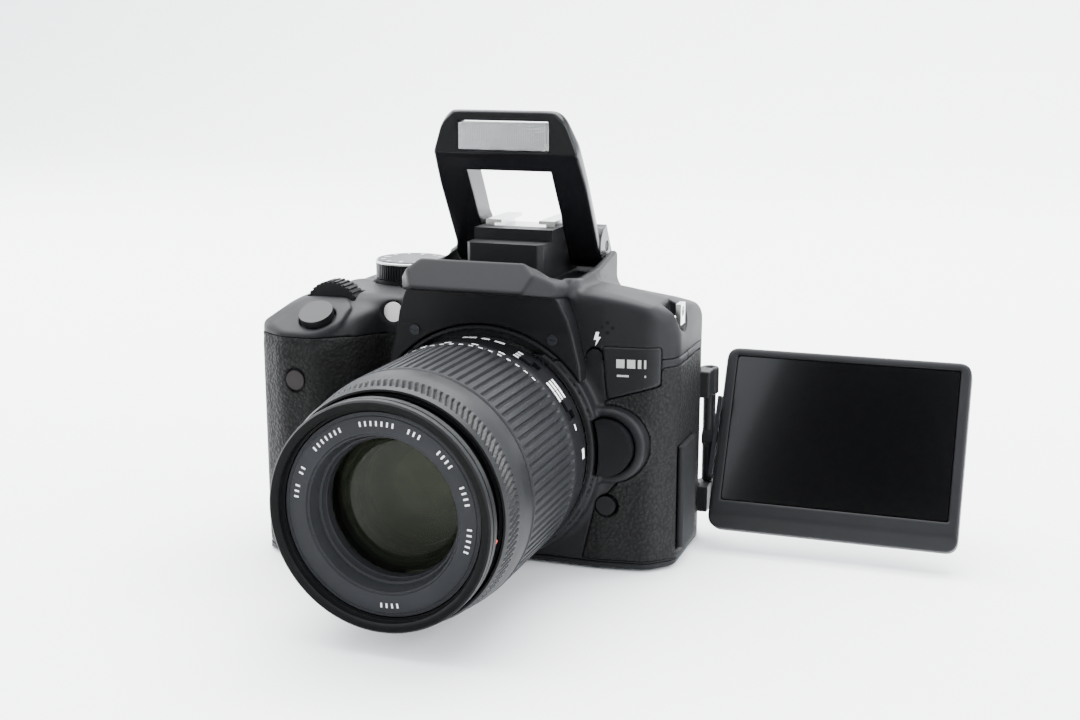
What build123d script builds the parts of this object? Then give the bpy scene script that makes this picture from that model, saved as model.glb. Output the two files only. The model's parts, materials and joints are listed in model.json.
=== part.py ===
from build123d import *
import math
import os

os.makedirs("parts", exist_ok=True)

# A single-lens reflex camera with its zoom lens, its built-in flash raised and its screen swung out.
# X runs to the camera's left as its user holds it, -Y is the way the lens looks, +Z is up.
# The origin is the mouth of the tripod socket, in the base and under the lens axis.

# Body
AXIS_Z = 38.2
FLANGE_Y = -24.0
SENSOR_Y = 20.0
BODY_LEFT = -66.0
BODY_RIGHT = 58.0
BODY_FRONT = -16.0
BODY_REAR = 34.0
DECK_Z = 80.5
BASE_THICK = 2.2
TOP_SPLIT_Z = 66.0
REAR_SPLIT_Y = 4.0
WALL = 2.2
RUBBER = 1.0

# Flash: drawn folded down, then turned up about its hinge
FLASH_Y = 25.0
FLASH_Z = 94.0
FLASH_RAISE = 57.0
FLASH_HALF = 24.7
WINDOW_HALF = 13.7
HINGE_END_R = 7.0
HINGE_PIN_R = 1.6

# Screen: drawn flat against the swing plane, then tipped back
SWING_X = 58.5
SWING_Y = 29.5
SCREEN_Z = 32.3
SCREEN_TILT = 27.0
SCREEN_X = 62.2
SCREEN_WIDE = 77.5
SCREEN_HIGH = 59.5
SCREEN_THICK = 7.8
PIVOT_R = 1.75
ARM_FACE_X = 60.4

# Lens
MOUNT_R = 35.5
ZOOM_R = 34.5
ZOOM_REAR = -37.9
ZOOM_FRONT = -75.2
FOCUS_FRONT = -91.0
RIM_FRONT = -99.2
RIM_R = 31.7
FILTER_R = 29.0

# Fits
RUN = 0.05

# Tripod socket, quarter inch
TRIPOD_R = 3.175
TRIPOD_DEEP = 6.0

parts = {}


def block(x0, x1, y0, y1, z0, z1):
    """A box between two opposite corners."""
    centre = Pos((x0 + x1) / 2, (y0 + y1) / 2, (z0 + z1) / 2)
    return centre * Box(x1 - x0, y1 - y0, z1 - z0)


def rod_x(radius, x0, x1, y, z):
    return Pos((x0 + x1) / 2, y, z) * Rot(0, 90, 0) * Cylinder(radius, x1 - x0)


def rod_y(radius, y0, y1, x, z):
    return Pos(x, (y0 + y1) / 2, z) * Rot(90, 0, 0) * Cylinder(radius, y1 - y0)


def rod_z(radius, z0, z1, x, y):
    return Pos(x, y, (z0 + z1) / 2) * Cylinder(radius, z1 - z0)


def tube_y(outer, inner, y0, y1, x=0.0, z=AXIS_Z):
    return rod_y(outer, y0, y1, x, z) - rod_y(inner, y0 - 1, y1 + 1, x, z)


def outline(points, radius):
    """A closed face through the points, each corner rounded."""
    return make_face(FilletPolyline(*points, radius=radius, close=True))


def prism_z(points, radius, z0, z1):
    """Points are (x, y)."""
    return extrude(Pos(0, 0, z0) * outline(points, radius), z1 - z0)


def prism_y(points, radius, y0, y1):
    """Points are (x, z)."""
    plane = Plane(origin=(0, y0, 0), x_dir=(1, 0, 0), z_dir=(0, -1, 0))
    return extrude(plane * outline(points, radius), amount=y1 - y0, dir=(0, 1, 0))


def prism_x(points, radius, x0, x1):
    """Points are (y, z)."""
    plane = Plane(origin=(x0, 0, 0), x_dir=(0, 1, 0), z_dir=(1, 0, 0))
    return extrude(plane * outline(points, radius), amount=x1 - x0, dir=(1, 0, 0))


def turned(points):
    """A solid turned about the lens axis; points are (radius, y)."""
    corners = [(r, y, AXIS_Z) for r, y in points]
    face = make_face(Polyline(*corners, close=True))
    return revolve(face, Axis((0, 0, AXIS_Z), (0, 1, 0)), 360)


def toothed(radius, depth, count):
    """A face like a gear: teeth that take half the pitch each."""
    points = []
    for tooth in range(count):
        for share, r in ((0.0, radius), (0.5, radius), (0.5, radius - depth), (1.0, radius - depth)):
            angle = 2 * math.pi * (tooth + share) / count
            points.append((r * math.cos(angle), r * math.sin(angle)))
    return make_face(Polyline(*points, close=True))


def mirrored(points):
    """Points for the +X half, front to rear, repeated on the -X half."""
    return points + [(-x, y) for x, y in reversed(points)]


def flash_up(shape):
    """Turn a folded-down flash piece up about its hinge."""
    return Pos(0, FLASH_Y, FLASH_Z) * Rot(-FLASH_RAISE, 0, 0) * Pos(0, -FLASH_Y, -FLASH_Z) * shape


def tipped(shape):
    """Tip a screen piece back about the screen's own axis."""
    return Pos(0, SWING_Y, SCREEN_Z) * Rot(-SCREEN_TILT, 0, 0) * Pos(0, -SWING_Y, -SCREEN_Z) * shape


# ---------------------------------------------------------------- body envelope
body_plan = [
    (BODY_LEFT, BODY_FRONT),
    (38, BODY_FRONT),
    (52, -13.5),
    (BODY_RIGHT, -7),
    (BODY_RIGHT, 24),
    (54, BODY_REAR),
    (-60, BODY_REAR),
    (BODY_LEFT, 29),
]
body_front_view = [
    (BODY_LEFT, 0),
    (BODY_RIGHT, 0),
    (BODY_RIGHT, 75),
    (55.5, 79.5),
    (50, 82),
    (42, 84.7),
    (28.5, 90.5),
    (-27, 90.5),
    (-29.5, DECK_Z),
    (-60, DECK_Z),
    (BODY_LEFT, 73),
]
main_body = prism_z(body_plan, 3, 0, 92) & prism_y(body_front_view, 1.2, -20, 40)

grip_plan = [
    (-73.3, -24),
    (-71.2, -33),
    (-62, -37.8),
    (-48, -37.6),
    (-39, -31),
    (-34, -18),
    (-31, -10),
    (-31, 10),
    (BODY_LEFT, 12),
    (-73.3, 0),
]
grip_face = outline(grip_plan, 3)
grip_block = extrude(grip_face, DECK_Z)
finger_slope = prism_x([(-48, 65.9), (-22, DECK_Z), (-22, 99), (-48, 99)], 0.5, -90, -25)
grip_shoulder = prism_y([(-90, 60), (-73.5, 69.5), (-62, DECK_Z), (-62, 99), (-90, 99)], 0.5, -60, 20)
grip_body = grip_block - finger_slope - grip_shoulder

mount_boss = rod_y(37.2, -22.3, -10, 0, AXIS_Z)
release_boss = rod_y(11.7, -20.2, -10, 38.5, 40)
release_boss = release_boss - rod_y(36.4, -30, -5, 0, AXIS_Z)

hump_plan = mirrored([(17.6, -36.8), (24.5, -26), (27, -12), (28.5, 8), (27.5, 30), (20, 34.5)])
hump_side_view = [
    (-16, 60),
    (-16, 84.2),
    (-24, 84.8),
    (-36.8, 87.6),
    (-30.8, 95.9),
    (-29.4, 95.9),
    (-24, 91.5),
    (-4, 90),
    (20, 91),
    (30, 93),
    (34.4, 88),
    (34.4, 60),
]
hump_front_view = mirrored([(15.7, 96.5), (17.6, 89.5), (30, 84), (30, 60)])
hump = prism_z(hump_plan, 2, 60, 100) & prism_x(hump_side_view, 0.5, -40, 40)
brow_trim = prism_y(hump_front_view, 0.6, -50, -24)
hump = (hump & brow_trim) + (hump & block(-40, 40, -24, 50, 50, 110))

envelope = main_body + grip_body + mount_boss + release_boss + hump

# ---------------------------------------------------------------- what is cut out of it
grip_core = extrude(offset(grip_face, amount=-RUBBER), TOP_SPLIT_Z)
grip_inside = Pos(0, 0, BASE_THICK) * extrude(offset(grip_face, amount=-3.2), 64)
grip_inside = grip_inside & block(-80, -36, -40, 12, 0, 66.5)
inside = block(-63, 55.5, BODY_FRONT + WALL, 22.6, BASE_THICK, 76)
inside = inside + block(-63, -26.5, 0, 31.5, BASE_THICK, 76)
inside = inside + block(-18.5, 18.5, -14, 30, 60, 83)
flash_well_plan = mirrored([(16.3, -40), (16.6, -30), (23.6, -20), (25.4, -3), (25.4, 32.5)])
flash_well_side = [(32.5, 85.5), (-17, 85.5), (-34.4, 89.2), (-28.9, 96.8), (-28.9, 120), (32.5, 120)]
flash_well = prism_z(flash_well_plan, 1, 80, 120) & prism_x(flash_well_side, 0.4, -30, 30)
screen_recess = block(-23.7, 70, 25, 50, 1.8, 62.8)
mount_hole = rod_y(28.2, -40, -10, 0, AXIS_Z)
ring_seat = rod_y(MOUNT_R + 0.1, -40, -19.5, 0, AXIS_Z)
eyepiece_tunnel = block(-12, 12, 22, 50, 64.5, 80)
dial_slot = block(-63, -42.6, -18.2, -9.8, 60, 90)
strap_niche = rod_x(5.2, 50.5, 70, -1, 78.5) + rod_x(5.2, -80, -61.5, -1, 76)

envelope = envelope - grip_inside - inside - flash_well - screen_recess
envelope = envelope - mount_hole - ring_seat - eyepiece_tunnel - dial_slot - strap_niche

# Hinge lugs for the screen stand on the body's corner.
lug = rod_z(3.0, 47.0, 55.6, SWING_X, SWING_Y) + block(55.6, 60.4, 21, SWING_Y, 47.0, 55.6)
low_lug = rod_z(3.0, 9.0, 17.5, SWING_X, SWING_Y) + block(55.6, 60.4, 21, SWING_Y, 9.0, 17.5)
lug = (lug + low_lug) - rod_z(1.25, 0, 60, SWING_X, SWING_Y)

# ---------------------------------------------------------------- moving controls and their holes
SLOPE = math.degrees(math.atan2(DECK_Z - 65.9, 26))


def on_slope(shape):
    """Stand a piece drawn about Z on the forward slope over the grip."""
    return Pos(-51.5, -30, 76.0) * Rot(SLOPE, 0, 0) * shape


shutter_button = on_slope(Pos(0, 0, 0.8) * Cylinder(5.3, 2.4) + Pos(0, 0, -1.5) * Cylinder(4.0, 2.4))
shutter_hole = on_slope(Pos(0, 0, 0) * Cylinder(5.6, 4.8) + Pos(0, 0, -3) * Cylinder(4.3, 8))

dial_face = toothed(11.9, 0.35, 72)
mode_dial = Pos(-38.9, 14, 82.6) * extrude(dial_face, 5.0)
mode_dial = mode_dial + rod_z(11.4, 87.6, 88.5, -38.9, 14) + rod_z(2.5, 74, 82.6, -38.9, 14)
mode_hole = rod_z(2.5 + RUN, 70, 84, -38.9, 14)
power_switch = rod_z(12.3, DECK_Z + 0.2, 82.3, -38.9, 14) - rod_z(3.0, 79, 84, -38.9, 14)
power_tab = Pos(-38.9, 14, 0) * Rot(0, 0, -72) * block(10, 15.6, -2.2, 2.2, DECK_Z + 0.2, 82.3)
power_switch = power_switch + power_tab

main_dial = Pos(-52.8, -14, 75.5) * Rot(90, 0, 0) * Pos(0, 0, -3.4) * extrude(toothed(9.4, 0.5, 36), 6.8)
main_dial = main_dial + rod_y(1.5, -19.8, -8.2, -52.8, 75.5)
dial_bearings = block(-55.5, -50.1, -20.4, -18.2, 72.5, 80) + block(-55.5, -50.1, -9.8, -7.8, 72.5, 80)
dial_bearings = dial_bearings - rod_y(1.5 + RUN, -30, 0, -52.8, 75.5)


def front_button(x, z, radius, face_y, stick_out):
    """A round button with a shoulder, and the hole it needs."""
    button = rod_y(radius, face_y - stick_out, face_y + 1.6, x, z)
    button = button + rod_y(radius - 0.9, face_y + 1.4, face_y + 3.6, x, z)
    hole = rod_y(radius + 0.25, face_y - 8, face_y + 2.8, x, z)
    hole = hole + rod_y(radius - 0.6, face_y, face_y + 8, x, z)
    return button, hole


flash_button, flash_button_hole = front_button(33.6, 66.6, 2.4, BODY_FRONT, 0.9)
dof_button, dof_hole = front_button(37.5, 20.5, 3.0, BODY_FRONT, 1.0)

release_button = rod_y(8.6, -22.4, -15.2, 38.2, 40) + rod_y(3.0, -15.4, -11.5, 40, 40)
release_button = release_button - rod_y(36.8, -30, -10, 0, AXIS_Z)
release_hole = rod_y(8.9, -30, -13.2, 38.2, 40) + rod_y(3.3, -16, -8, 40, 40)
release_hole = release_hole - rod_y(36.4, -30, -12, 0, AXIS_Z)
lens_lock_pin = rod_y(1.3, -25.2, -11.0, 30.3, AXIS_Z)
pin_hole = rod_y(1.35, -40, -9.0, 30.3, AXIS_Z)


def rear_button(x, z, radius, stick_out=1.0):
    """A round key in the rear cover, and its hole."""
    button = rod_y(radius, BODY_REAR - 1.4, BODY_REAR + stick_out, x, z)
    hole = rod_y(radius + 0.25, BODY_REAR - 6, BODY_REAR + 4, x, z)
    return button, hole


menu_button, menu_hole = rear_button(47, 70.5, 3.2)
live_button, live_hole = rear_button(-31.5, 70.5, 2.8)
cross_keys, cross_hole = rear_button(-45.5, 31, 10.5)
set_button = rod_y(4.4, BODY_REAR - 1.4, BODY_REAR + 1.4, -45.5, 31)
cross_keys = cross_keys - rod_y(4.7, BODY_REAR - 9, BODY_REAR + 9, -45.5, 31)
iso_button = rod_z(2.4, DECK_Z - 1.6, DECK_Z + 0.9, -54.5, -3)
iso_hole = rod_z(2.7, 70, 90, -54.5, -3)
dioptre_dial = rod_x(3.6, 19.0, 21.2, 31.2, 82.2)
dioptre_slot = rod_x(3.95, 18.7, 21.5, 31.2, 82.2)

button_holes = [
    shutter_hole, mode_hole, flash_button_hole, dof_hole, release_hole, pin_hole, menu_hole,
    live_hole, cross_hole, iso_hole, dioptre_slot,
]

# Doors sit in pockets of the cover they close.
door_plan = [(-70.2, -31), (-63, -34.6), (-50, -34.6), (-38.3, -26.8), (-38.3, -8), (-70.2, -8)]
pocket_plan = [(-70.5, -31.2), (-63.1, -34.9), (-49.9, -34.9), (-37.0, -27.3), (-37.0, -7.5), (-70.5, -7.5)]
battery_door = prism_z(door_plan, 1.5, 0, 1.8) + rod_y(0.9, -25.5, -8, -38.3, 0.9)
battery_pocket = prism_z(pocket_plan, 1, -1, BASE_THICK + 1)
card_door = block(-66.0, -64.2, 12.5, 28.2, 16, 56) + rod_z(0.9, 16, 56, -65.1, 28.2)
card_pocket = block(-67, -62.5, 12.2, 29.5, 15.7, 56.3)
terminal_cover = block(57.0, 59.0, -5.2, 10.0, 6, 38) + rod_z(1.0, 6, 38, 58.0, -5.2)
terminal_pocket = block(55.0, 60.0, -6.6, 10.3, 5.7, 38.3)

lamp_room = rod_y(3.3, -30, BODY_FRONT, -32.1, 76.2)
dial_room = rod_z(12.7, DECK_Z, 100, -38.9, 14)
for hole in button_holes + [battery_pocket, card_pocket, terminal_pocket, lamp_room, dial_room]:
    envelope = envelope - hole

# ---------------------------------------------------------------- covers
far = 200
front_half = block(-far, far, -far, REAR_SPLIT_Y, BASE_THICK, TOP_SPLIT_Z)
rear_half = block(-far, far, REAR_SPLIT_Y, far, BASE_THICK, TOP_SPLIT_Z)
rubber_band = extrude(grip_face, TOP_SPLIT_Z) - grip_core
rubber_band = rubber_band & block(-80, -35, -40, 3.7, 4, TOP_SPLIT_Z - 0.2)
rubber_band = rubber_band - battery_pocket - rod_y(37.3, -40, 0, 0, AXIS_Z)

base_cover = envelope & block(-far, far, -far, far, -1, BASE_THICK)
tripod_bore = rod_z(TRIPOD_R, -1, TRIPOD_DEEP, 0, 0)
base_cover = base_cover - rod_z(5.2, -1, 5, 0, 0)
front_cover = (envelope & front_half) - rubber_band
rear_cover = (envelope & rear_half) + lug
rear_cover = rear_cover - rubber_band

top_cover = envelope & block(-far, far, -far, far, TOP_SPLIT_Z, far)
top_cover = top_cover + dial_bearings
eyepiece_frame = block(-16, 16, 30, 36.5, 62.9, 84) - block(-12, 12, 20, 50, 64.5, 80)
eyepiece_frame = eyepiece_frame & block(-30, 30, 20, 50, TOP_SPLIT_Z, 90)
top_cover = (top_cover + eyepiece_frame) - dioptre_slot - rod_y(1.5 + RUN, -20, -8, -52.8, 75.5)

grip_rubber = rubber_band
side_face = outline(body_plan, 3)
side_skin = extrude(offset(side_face, amount=0.9), 62) - extrude(side_face, 70)
side_rubber = side_skin & block(41, 70, -20, 20, 3, 62)
side_rubber = side_rubber - rod_y(12.0, -40, 0, 38.5, 40) - rod_y(3.6, -40, 0, 37.5, 20.5)
name_plate_room = prism_y([(35.5, 70.6), (53.5, 70.6), (53.5, 57.8), (36.2, 52.6)], 1, -22, -8)
side_rubber = side_rubber - name_plate_room - terminal_pocket
name_plate = (extrude(offset(side_face, amount=1.1), 75) - extrude(side_face, 80))
name_plate = name_plate & prism_y([(36, 70), (52.8, 70), (52.8, 58.4), (37, 53.4)], 1, -22, -8)
thumb_rubber = prism_y([(-63, 73), (-53, 73), (-53, 47), (-59, 47), (-63, 52)], 1.5, BODY_REAR + 0.02, 36.8)

panel_view = [(-23, 84.0), (23, 84.0), (27.5, 77), (30.8, 66), (31, 57), (-27, 57), (-26.5, 66)]
mirror_panel = prism_y(panel_view, 1.0, -22.2, BODY_FRONT - 0.02) - rod_y(37.3, -40, 0, 0, AXIS_Z)

# ---------------------------------------------------------------- mount, mirror box and optics
body_mount_ring = tube_y(33.2, 27.2, FLANGE_Y, -20.2) - pin_hole
mount_trim = tube_y(MOUNT_R, 33.3, -23.4, -19.5)
front_cover = front_cover + mount_trim
mirror_box = block(-19, 19, -18.5, 9.5, 20, 54.5)
mirror_box = mirror_box - block(-17.2, 17.2, -30, 20, 21.8, 51.5)
mirror_box = mirror_box - block(-14.2, 14.2, -16, 8, 50, 60)
shutter_unit = block(-20, 20, 10.2, 15.5, 22, 54.8) - block(-12, 12, 0, 30, 30, 46.5)
image_sensor = block(-15, 15, SENSOR_Y - 0.6, SENSOR_Y + 1.4, 26, 50.5)
prism_view = [(-13, 55), (9, 55), (21, 60.5), (21, 74), (8, 81.5), (-8, 81.5), (-13, 70)]
pentamirror = prism_x(prism_view, 0.5, -16, 16)
eyepiece_lens = block(-10.5, 10.5, 25, 27.5, 65.5, 78.5)
eyepiece_lens = eyepiece_lens & prism_y(
    [(-9.5, 79), (9.5, 79), (9.5, 65), (-9.5, 65)], 2, 20, 30
)
eyecup_hole = prism_y([(-10.5, 79.5), (10.5, 79.5), (10.5, 65.5), (-10.5, 65.5)], 3, 30, 50)
eyecup = prism_y([(-16.5, 83), (16.5, 83), (17.5, 72), (16.5, 63.1), (-16.5, 63.1), (-17.5, 72)], 3, 36.6, 40.6)
eyecup = eyecup - eyecup_hole

MIRROR_Y = 5.0
MIRROR_Z = 49.0
mirror_plate = block(-14.5, 14.5, MIRROR_Y - 24.5, MIRROR_Y, MIRROR_Z - 1.2, MIRROR_Z)
mirror_plate = mirror_plate + rod_x(0.9, -16.9, 16.9, MIRROR_Y, MIRROR_Z - 0.6)
reflex_mirror = Pos(0, MIRROR_Y, MIRROR_Z - 0.6) * Rot(45, 0, 0) * Pos(0, -MIRROR_Y, 0.6 - MIRROR_Z) * mirror_plate
sub_mirror = block(-7, 7, -4.4, -3.6, 26.5, 37.4) + rod_x(0.45, -7, 7, -4.0, 37.4)

tripod_socket = rod_z(5.1, 0, 8.0, 0, 0) + rod_z(7.5, BASE_THICK + 0.02, 4.0, 0, 0)
tripod_socket = tripod_socket - tripod_bore
battery_pack = block(-69.2, -37.2, -32.4, -18.4, 2.4, 51.8)
battery_pack = battery_pack & grip_inside

# ---------------------------------------------------------------- small pieces on the covers
af_lamp = rod_y(3.1, BODY_FRONT - 0.7, BODY_FRONT - 0.02, -32.1, 76.2)
remote_window = rod_y(3.0, -38.3, -37.82, -55.5, 57.4)
strap_lugs = block(55.0, 56.6, -3.6, 1.6, 75.2, 81.6) - rod_x(1.5, 50, 60, -1, 79.2)
left_lug = block(-65.6, -64.0, -3.6, 1.6, 72.8, 79.2) - rod_x(1.5, -70, -60, -1, 76.8)
strap_lugs = strap_lugs + rod_x(1.2, 50.6, 55.2, -1, 76.4)
strap_lugs = strap_lugs + left_lug + rod_x(1.2, -64.2, -61.6, -1, 74)
cover_screws = None
for screw_x, screw_z in ((-22.2, 72.4), (22.2, 72.0)):
    screw = rod_y(1.6, -22.7, -22.22, screw_x, screw_z)
    screw = screw - block(screw_x - 1.1, screw_x + 1.1, -23.4, -22.45, screw_z - 0.25, screw_z + 0.25)
    cover_screws = screw if cover_screws is None else cover_screws + screw

# ---------------------------------------------------------------- hot shoe
shoe_lower = prism_z(mirrored([(11.0, -4.5), (12.6, -2.5), (12.9, 31)]), 0.8, 85.52, 97.4)
shoe_upper = block(-13.0, 13.0, 4.5, 31, 97.4, 101.0)
hot_shoe_base = shoe_lower + shoe_upper - block(-9.4, 9.4, 11, 40, 99.4, 110)
shoe_rail = block(-11.6, -9.3, 11.2, 30.8, 101.02, 102.9) + block(-11.6, -6.3, 11.2, 30.8, 101.8, 102.9)
right_rail = block(9.3, 11.6, 11.2, 30.8, 101.02, 102.9) + block(6.3, 11.6, 11.2, 30.8, 101.8, 102.9)
shoe_cross = block(-9.3, 9.3, 11.2, 30.8, 99.42, 99.9)
shoe_walls = block(-9.3, -8.7, 11.2, 30.8, 99.42, 102.0) + block(8.7, 9.3, 11.2, 30.8, 99.42, 102.0)
hot_shoe_rails = shoe_rail + right_rail + shoe_cross + shoe_walls
for side in (-1, 1):
    pin = Pos(side * 19.5, FLASH_Y, FLASH_Z) * Rot(0, 90, 0) * Cylinder(HINGE_PIN_R, 13.1)
    pin_wall = Pos(side * 26.3, FLASH_Y, FLASH_Z - 3) * Box(1.6, 7.5, 13)
    top_cover = top_cover + pin + pin_wall

# ---------------------------------------------------------------- flash
frame_plan = mirrored([(15.2, -31), (15.7, -28.4), (22.7, -19), (FLASH_HALF, -3), (FLASH_HALF, 33)])
frame_side = [
    (FLASH_Y, 87.0),
    (-14.5, 87.2),
    (-16.4, 86.9),
    (-25.5, 91.6),
    (-27.2, 92.4),
    (-28.4, 94.0),
    (-22, 97.0),
    (-10, 97.6),
    (FLASH_Y, 97.6),
]
frame_roof = mirrored([(17.5, 97.7), (FLASH_HALF + 0.1, 92.5), (FLASH_HALF + 0.1, 80)])
frame_solid = prism_z(frame_plan, 1.5, 80, 110) & prism_x(frame_side, 0.3, -30, 30)
frame_solid = frame_solid & prism_y(frame_roof, 1.0, -40, 40)
hinge_ends = rod_x(HINGE_END_R, -FLASH_HALF, FLASH_HALF, FLASH_Y, FLASH_Z) & block(-30, 30, 10, 40, 80, 97.6)
frame_solid = frame_solid + hinge_ends
window_side = [(60, 70), (-10.8, 70), (-10.8, 90.4), (-6.4, 97.6), (-3, 110), (60, 110)]
frame_window = prism_x(window_side, 0.3, -WINDOW_HALF, WINDOW_HALF)
frame_solid = frame_solid - frame_window
frame_solid = frame_solid - rod_x(HINGE_PIN_R + RUN, -30, 30, FLASH_Y, FLASH_Z)
flash_frame = flash_up(frame_solid)
# The plate that holds the lamp stands upright when the flash is up.
plate_y = -4.0
lamp_pocket = block(-14.6, 14.6, -12, 4.6, 125.9, 134.9)
flash_frame = flash_frame - lamp_pocket
flash_window = block(-14.0, 14.0, plate_y - 1.6, plate_y + 1.4, 126.4, 134.4)
flash_reflector = block(-14.2, 14.2, plate_y + 1.5, plate_y + 8.3, 126.2, 134.6)
trough = [(-10, 123), (plate_y + 1.4, 127.0), (4, 129.4), (4, 131.6), (plate_y + 1.4, 133.8), (-10, 138)]
flash_reflector = flash_reflector - prism_x(trough, 0.2, -13.4, 13.4)
flash_reflector = flash_reflector - rod_x(1.2, -15, 15, 1.6, 130.4)

# ---------------------------------------------------------------- screen
arm_low = SCREEN_Z - 14.4
arm_high = SCREEN_Z + 14.3
lcd_arm = rod_z(1.9, arm_low, arm_high, SWING_X, SWING_Y)
lcd_arm = lcd_arm + rod_z(1.2, 10, 54.5, SWING_X, SWING_Y)
lcd_arm = lcd_arm + block(SWING_X, ARM_FACE_X, SWING_Y - 1.5, SWING_Y + 1.5, arm_low, arm_high)
lcd_arm = lcd_arm + rod_x(3.0, SWING_X - 1.6, ARM_FACE_X, SWING_Y, SCREEN_Z)
lcd_arm = lcd_arm - rod_x(PIVOT_R + RUN, SWING_X - 0.5, 70, SWING_Y, SCREEN_Z)
# The pivot's steel leaf lies between the arm and the screen's edge.
leaf_x = ARM_FACE_X + 0.2
lcd_pivot = rod_x(PIVOT_R, SWING_X - 0.3, 68.0, SWING_Y, SCREEN_Z)
lcd_pivot = lcd_pivot + block(leaf_x, leaf_x + 1.3, SWING_Y - 2.8, SWING_Y + 2.8, SCREEN_Z - 13.2, SCREEN_Z + 13.2)

screen_face = outline(
    [
        (SCREEN_X, SCREEN_Z - SCREEN_HIGH / 2),
        (SCREEN_X + SCREEN_WIDE, SCREEN_Z - SCREEN_HIGH / 2),
        (SCREEN_X + SCREEN_WIDE, SCREEN_Z + SCREEN_HIGH / 2),
        (SCREEN_X, SCREEN_Z + SCREEN_HIGH / 2),
    ],
    3.5,
)
screen_plane = Plane(origin=(0, SWING_Y - SCREEN_THICK / 2, 0), x_dir=(1, 0, 0), z_dir=(0, -1, 0))
housing = extrude(screen_plane * screen_face, amount=SCREEN_THICK, dir=(0, 1, 0))
housing = chamfer(housing.faces().sort_by(Axis.Y)[-1].edges(), 1.0)
housing = chamfer(housing.faces().sort_by(Axis.Y)[0].edges(), 0.5)
glass_y = SWING_Y - SCREEN_THICK / 2
glass_room = prism_y([(65.9, 11.5), (136.3, 11.5), (136.3, 59.2), (65.9, 59.2)], 1.0, glass_y - 6, glass_y + 1.3)
housing = housing - glass_room - block(68.5, 133, SWING_Y - 3, SWING_Y + 2.2, 15, 56)
housing = housing - rod_x(PIVOT_R + RUN, 50, 68.3, SWING_Y, SCREEN_Z)
housing = housing - block(68.2, 69, SWING_Y - 3, SWING_Y + 2.2, 28, 37)
lcd_housing = tipped(housing)
glass_view = [(66.1, 11.7), (136.1, 11.7), (136.1, 59.0), (66.1, 59.0)]
lcd_glass = tipped(prism_y(glass_view, 1.0, glass_y + 0.15, glass_y + 1.28))
lcd_pivot = tipped(lcd_pivot)

# ---------------------------------------------------------------- lens
lens_mount = tube_y(33.4, 24.6, -26.2, FLANGE_Y - 0.02)
lens_mount = lens_mount + tube_y(26.4, 22.0, -26.2, -20.6)
lens_mount = lens_mount - rod_y(1.6, -25.6, -20, 30.3, AXIS_Z)
lens_housing = turned(
    [
        (33.5, FLANGE_Y - 0.1), (34.3, -27.5), (ZOOM_R, -30), (ZOOM_R, ZOOM_REAR + 0.2), (31.6, ZOOM_REAR + 0.2),
        (31.6, ZOOM_FRONT - 0.0), (31.2, ZOOM_FRONT - 14.0), (30.2, ZOOM_FRONT - 14.0), (30.2, -30), (24, -28),
        (24, -26.22), (33.5, -26.22),
    ]
)
zoom_teeth = extrude(toothed(ZOOM_R + 0.2, 0.6, 84), ZOOM_REAR - ZOOM_FRONT - 4.4)
zoom_edge = ZOOM_R + 0.1
zoom_ring = Pos(0, ZOOM_REAR, AXIS_Z) * Rot(90, 0, 0) * zoom_teeth
zoom_ring = zoom_ring + tube_y(zoom_edge, 33.0, ZOOM_REAR - 1.6, ZOOM_REAR)
zoom_ring = zoom_ring + tube_y(zoom_edge, 33.0, ZOOM_FRONT + 0.1, ZOOM_FRONT + 5)
zoom_ring = zoom_ring - rod_y(31.65, -90, -30, 0, AXIS_Z)
focus_band = turned(
    [
        (31.85, ZOOM_FRONT - 0.2), (34.6, ZOOM_FRONT - 0.2), (34.2, -82.0), (33.6, -83.5),
        (32.9, -90), (32.5, FOCUS_FRONT), (32.1, FOCUS_FRONT), (31.85, -88),
    ]
)
focus_teeth = Pos(0, -83.2, AXIS_Z) * Rot(90, 0, 0) * extrude(toothed(34.0, 0.55, 110), 6.0)
focus_teeth = focus_teeth - rod_y(32.6, -95, -70, 0, AXIS_Z)
focus_ring = focus_band + focus_teeth
front_barrel = turned(
    [
        (29.9, -62), (29.9, -93.5), (RIM_R, -94.3), (RIM_R, -98.6), (RIM_R - 0.5, RIM_FRONT), (29.9, RIM_FRONT),
        (FILTER_R, -99.0), (FILTER_R, -96.3), (28.2, -96.3), (28.2, -62),
    ]
)
name_ring = turned(
    [
        (28.1, -95.7), (27.8, -96.1), (22.4, -96.2), (21.6, -95.8),
        (20.6, -91.4), (19.2, -89.6), (19.2, -86), (28.1, -86),
    ]
)
front_element = turned([(0, -89.2), (10, -88.6), (19.1, -86.8), (19.1, -80), (0, -80)])
lens_core = turned([(28.4, -85.8), (28.4, -64), (16, -64), (16, -79.9), (19.2, -79.9), (19.2, -85.8)])
front_barrel = front_barrel + lens_core
rear_element = turned([(0, -26.6), (11, -26.2), (15.8, -25.5), (15.8, -22.5), (0, -21.8)])
rear_cell = turned(
    [(15.9, -28), (24.5, -28), (24.5, -26.3), (21.9, -26.3), (21.9, -20.8), (15.9, -20.8)]
)
lens_housing = lens_housing + rear_cell


def on_barrel(angle, x0, x1, y0, y1, z0, z1):
    """A small box on the lens barrel, at an angle round it from straight up."""
    return Pos(0, 0, AXIS_Z) * Rot(0, angle, 0) * block(x0, x1, y0, y1, z0, z1)


# The sliding switches sit on flats of the rear barrel.
SWITCH_A = 33.0
SWITCH_B = 62.0
switches = {}
for switch_name, switch_angle in (("focus_mode_switch", SWITCH_A), ("stabiliser_switch", SWITCH_B)):
    pocket = on_barrel(switch_angle, -3.4, 3.4, -35.4, -30.2, 33.2, 40)
    lens_housing = lens_housing - pocket
    switches[switch_name] = on_barrel(switch_angle, -3.1, 0.7, -34.6, -31.0, 33.3, 35.1)

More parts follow.
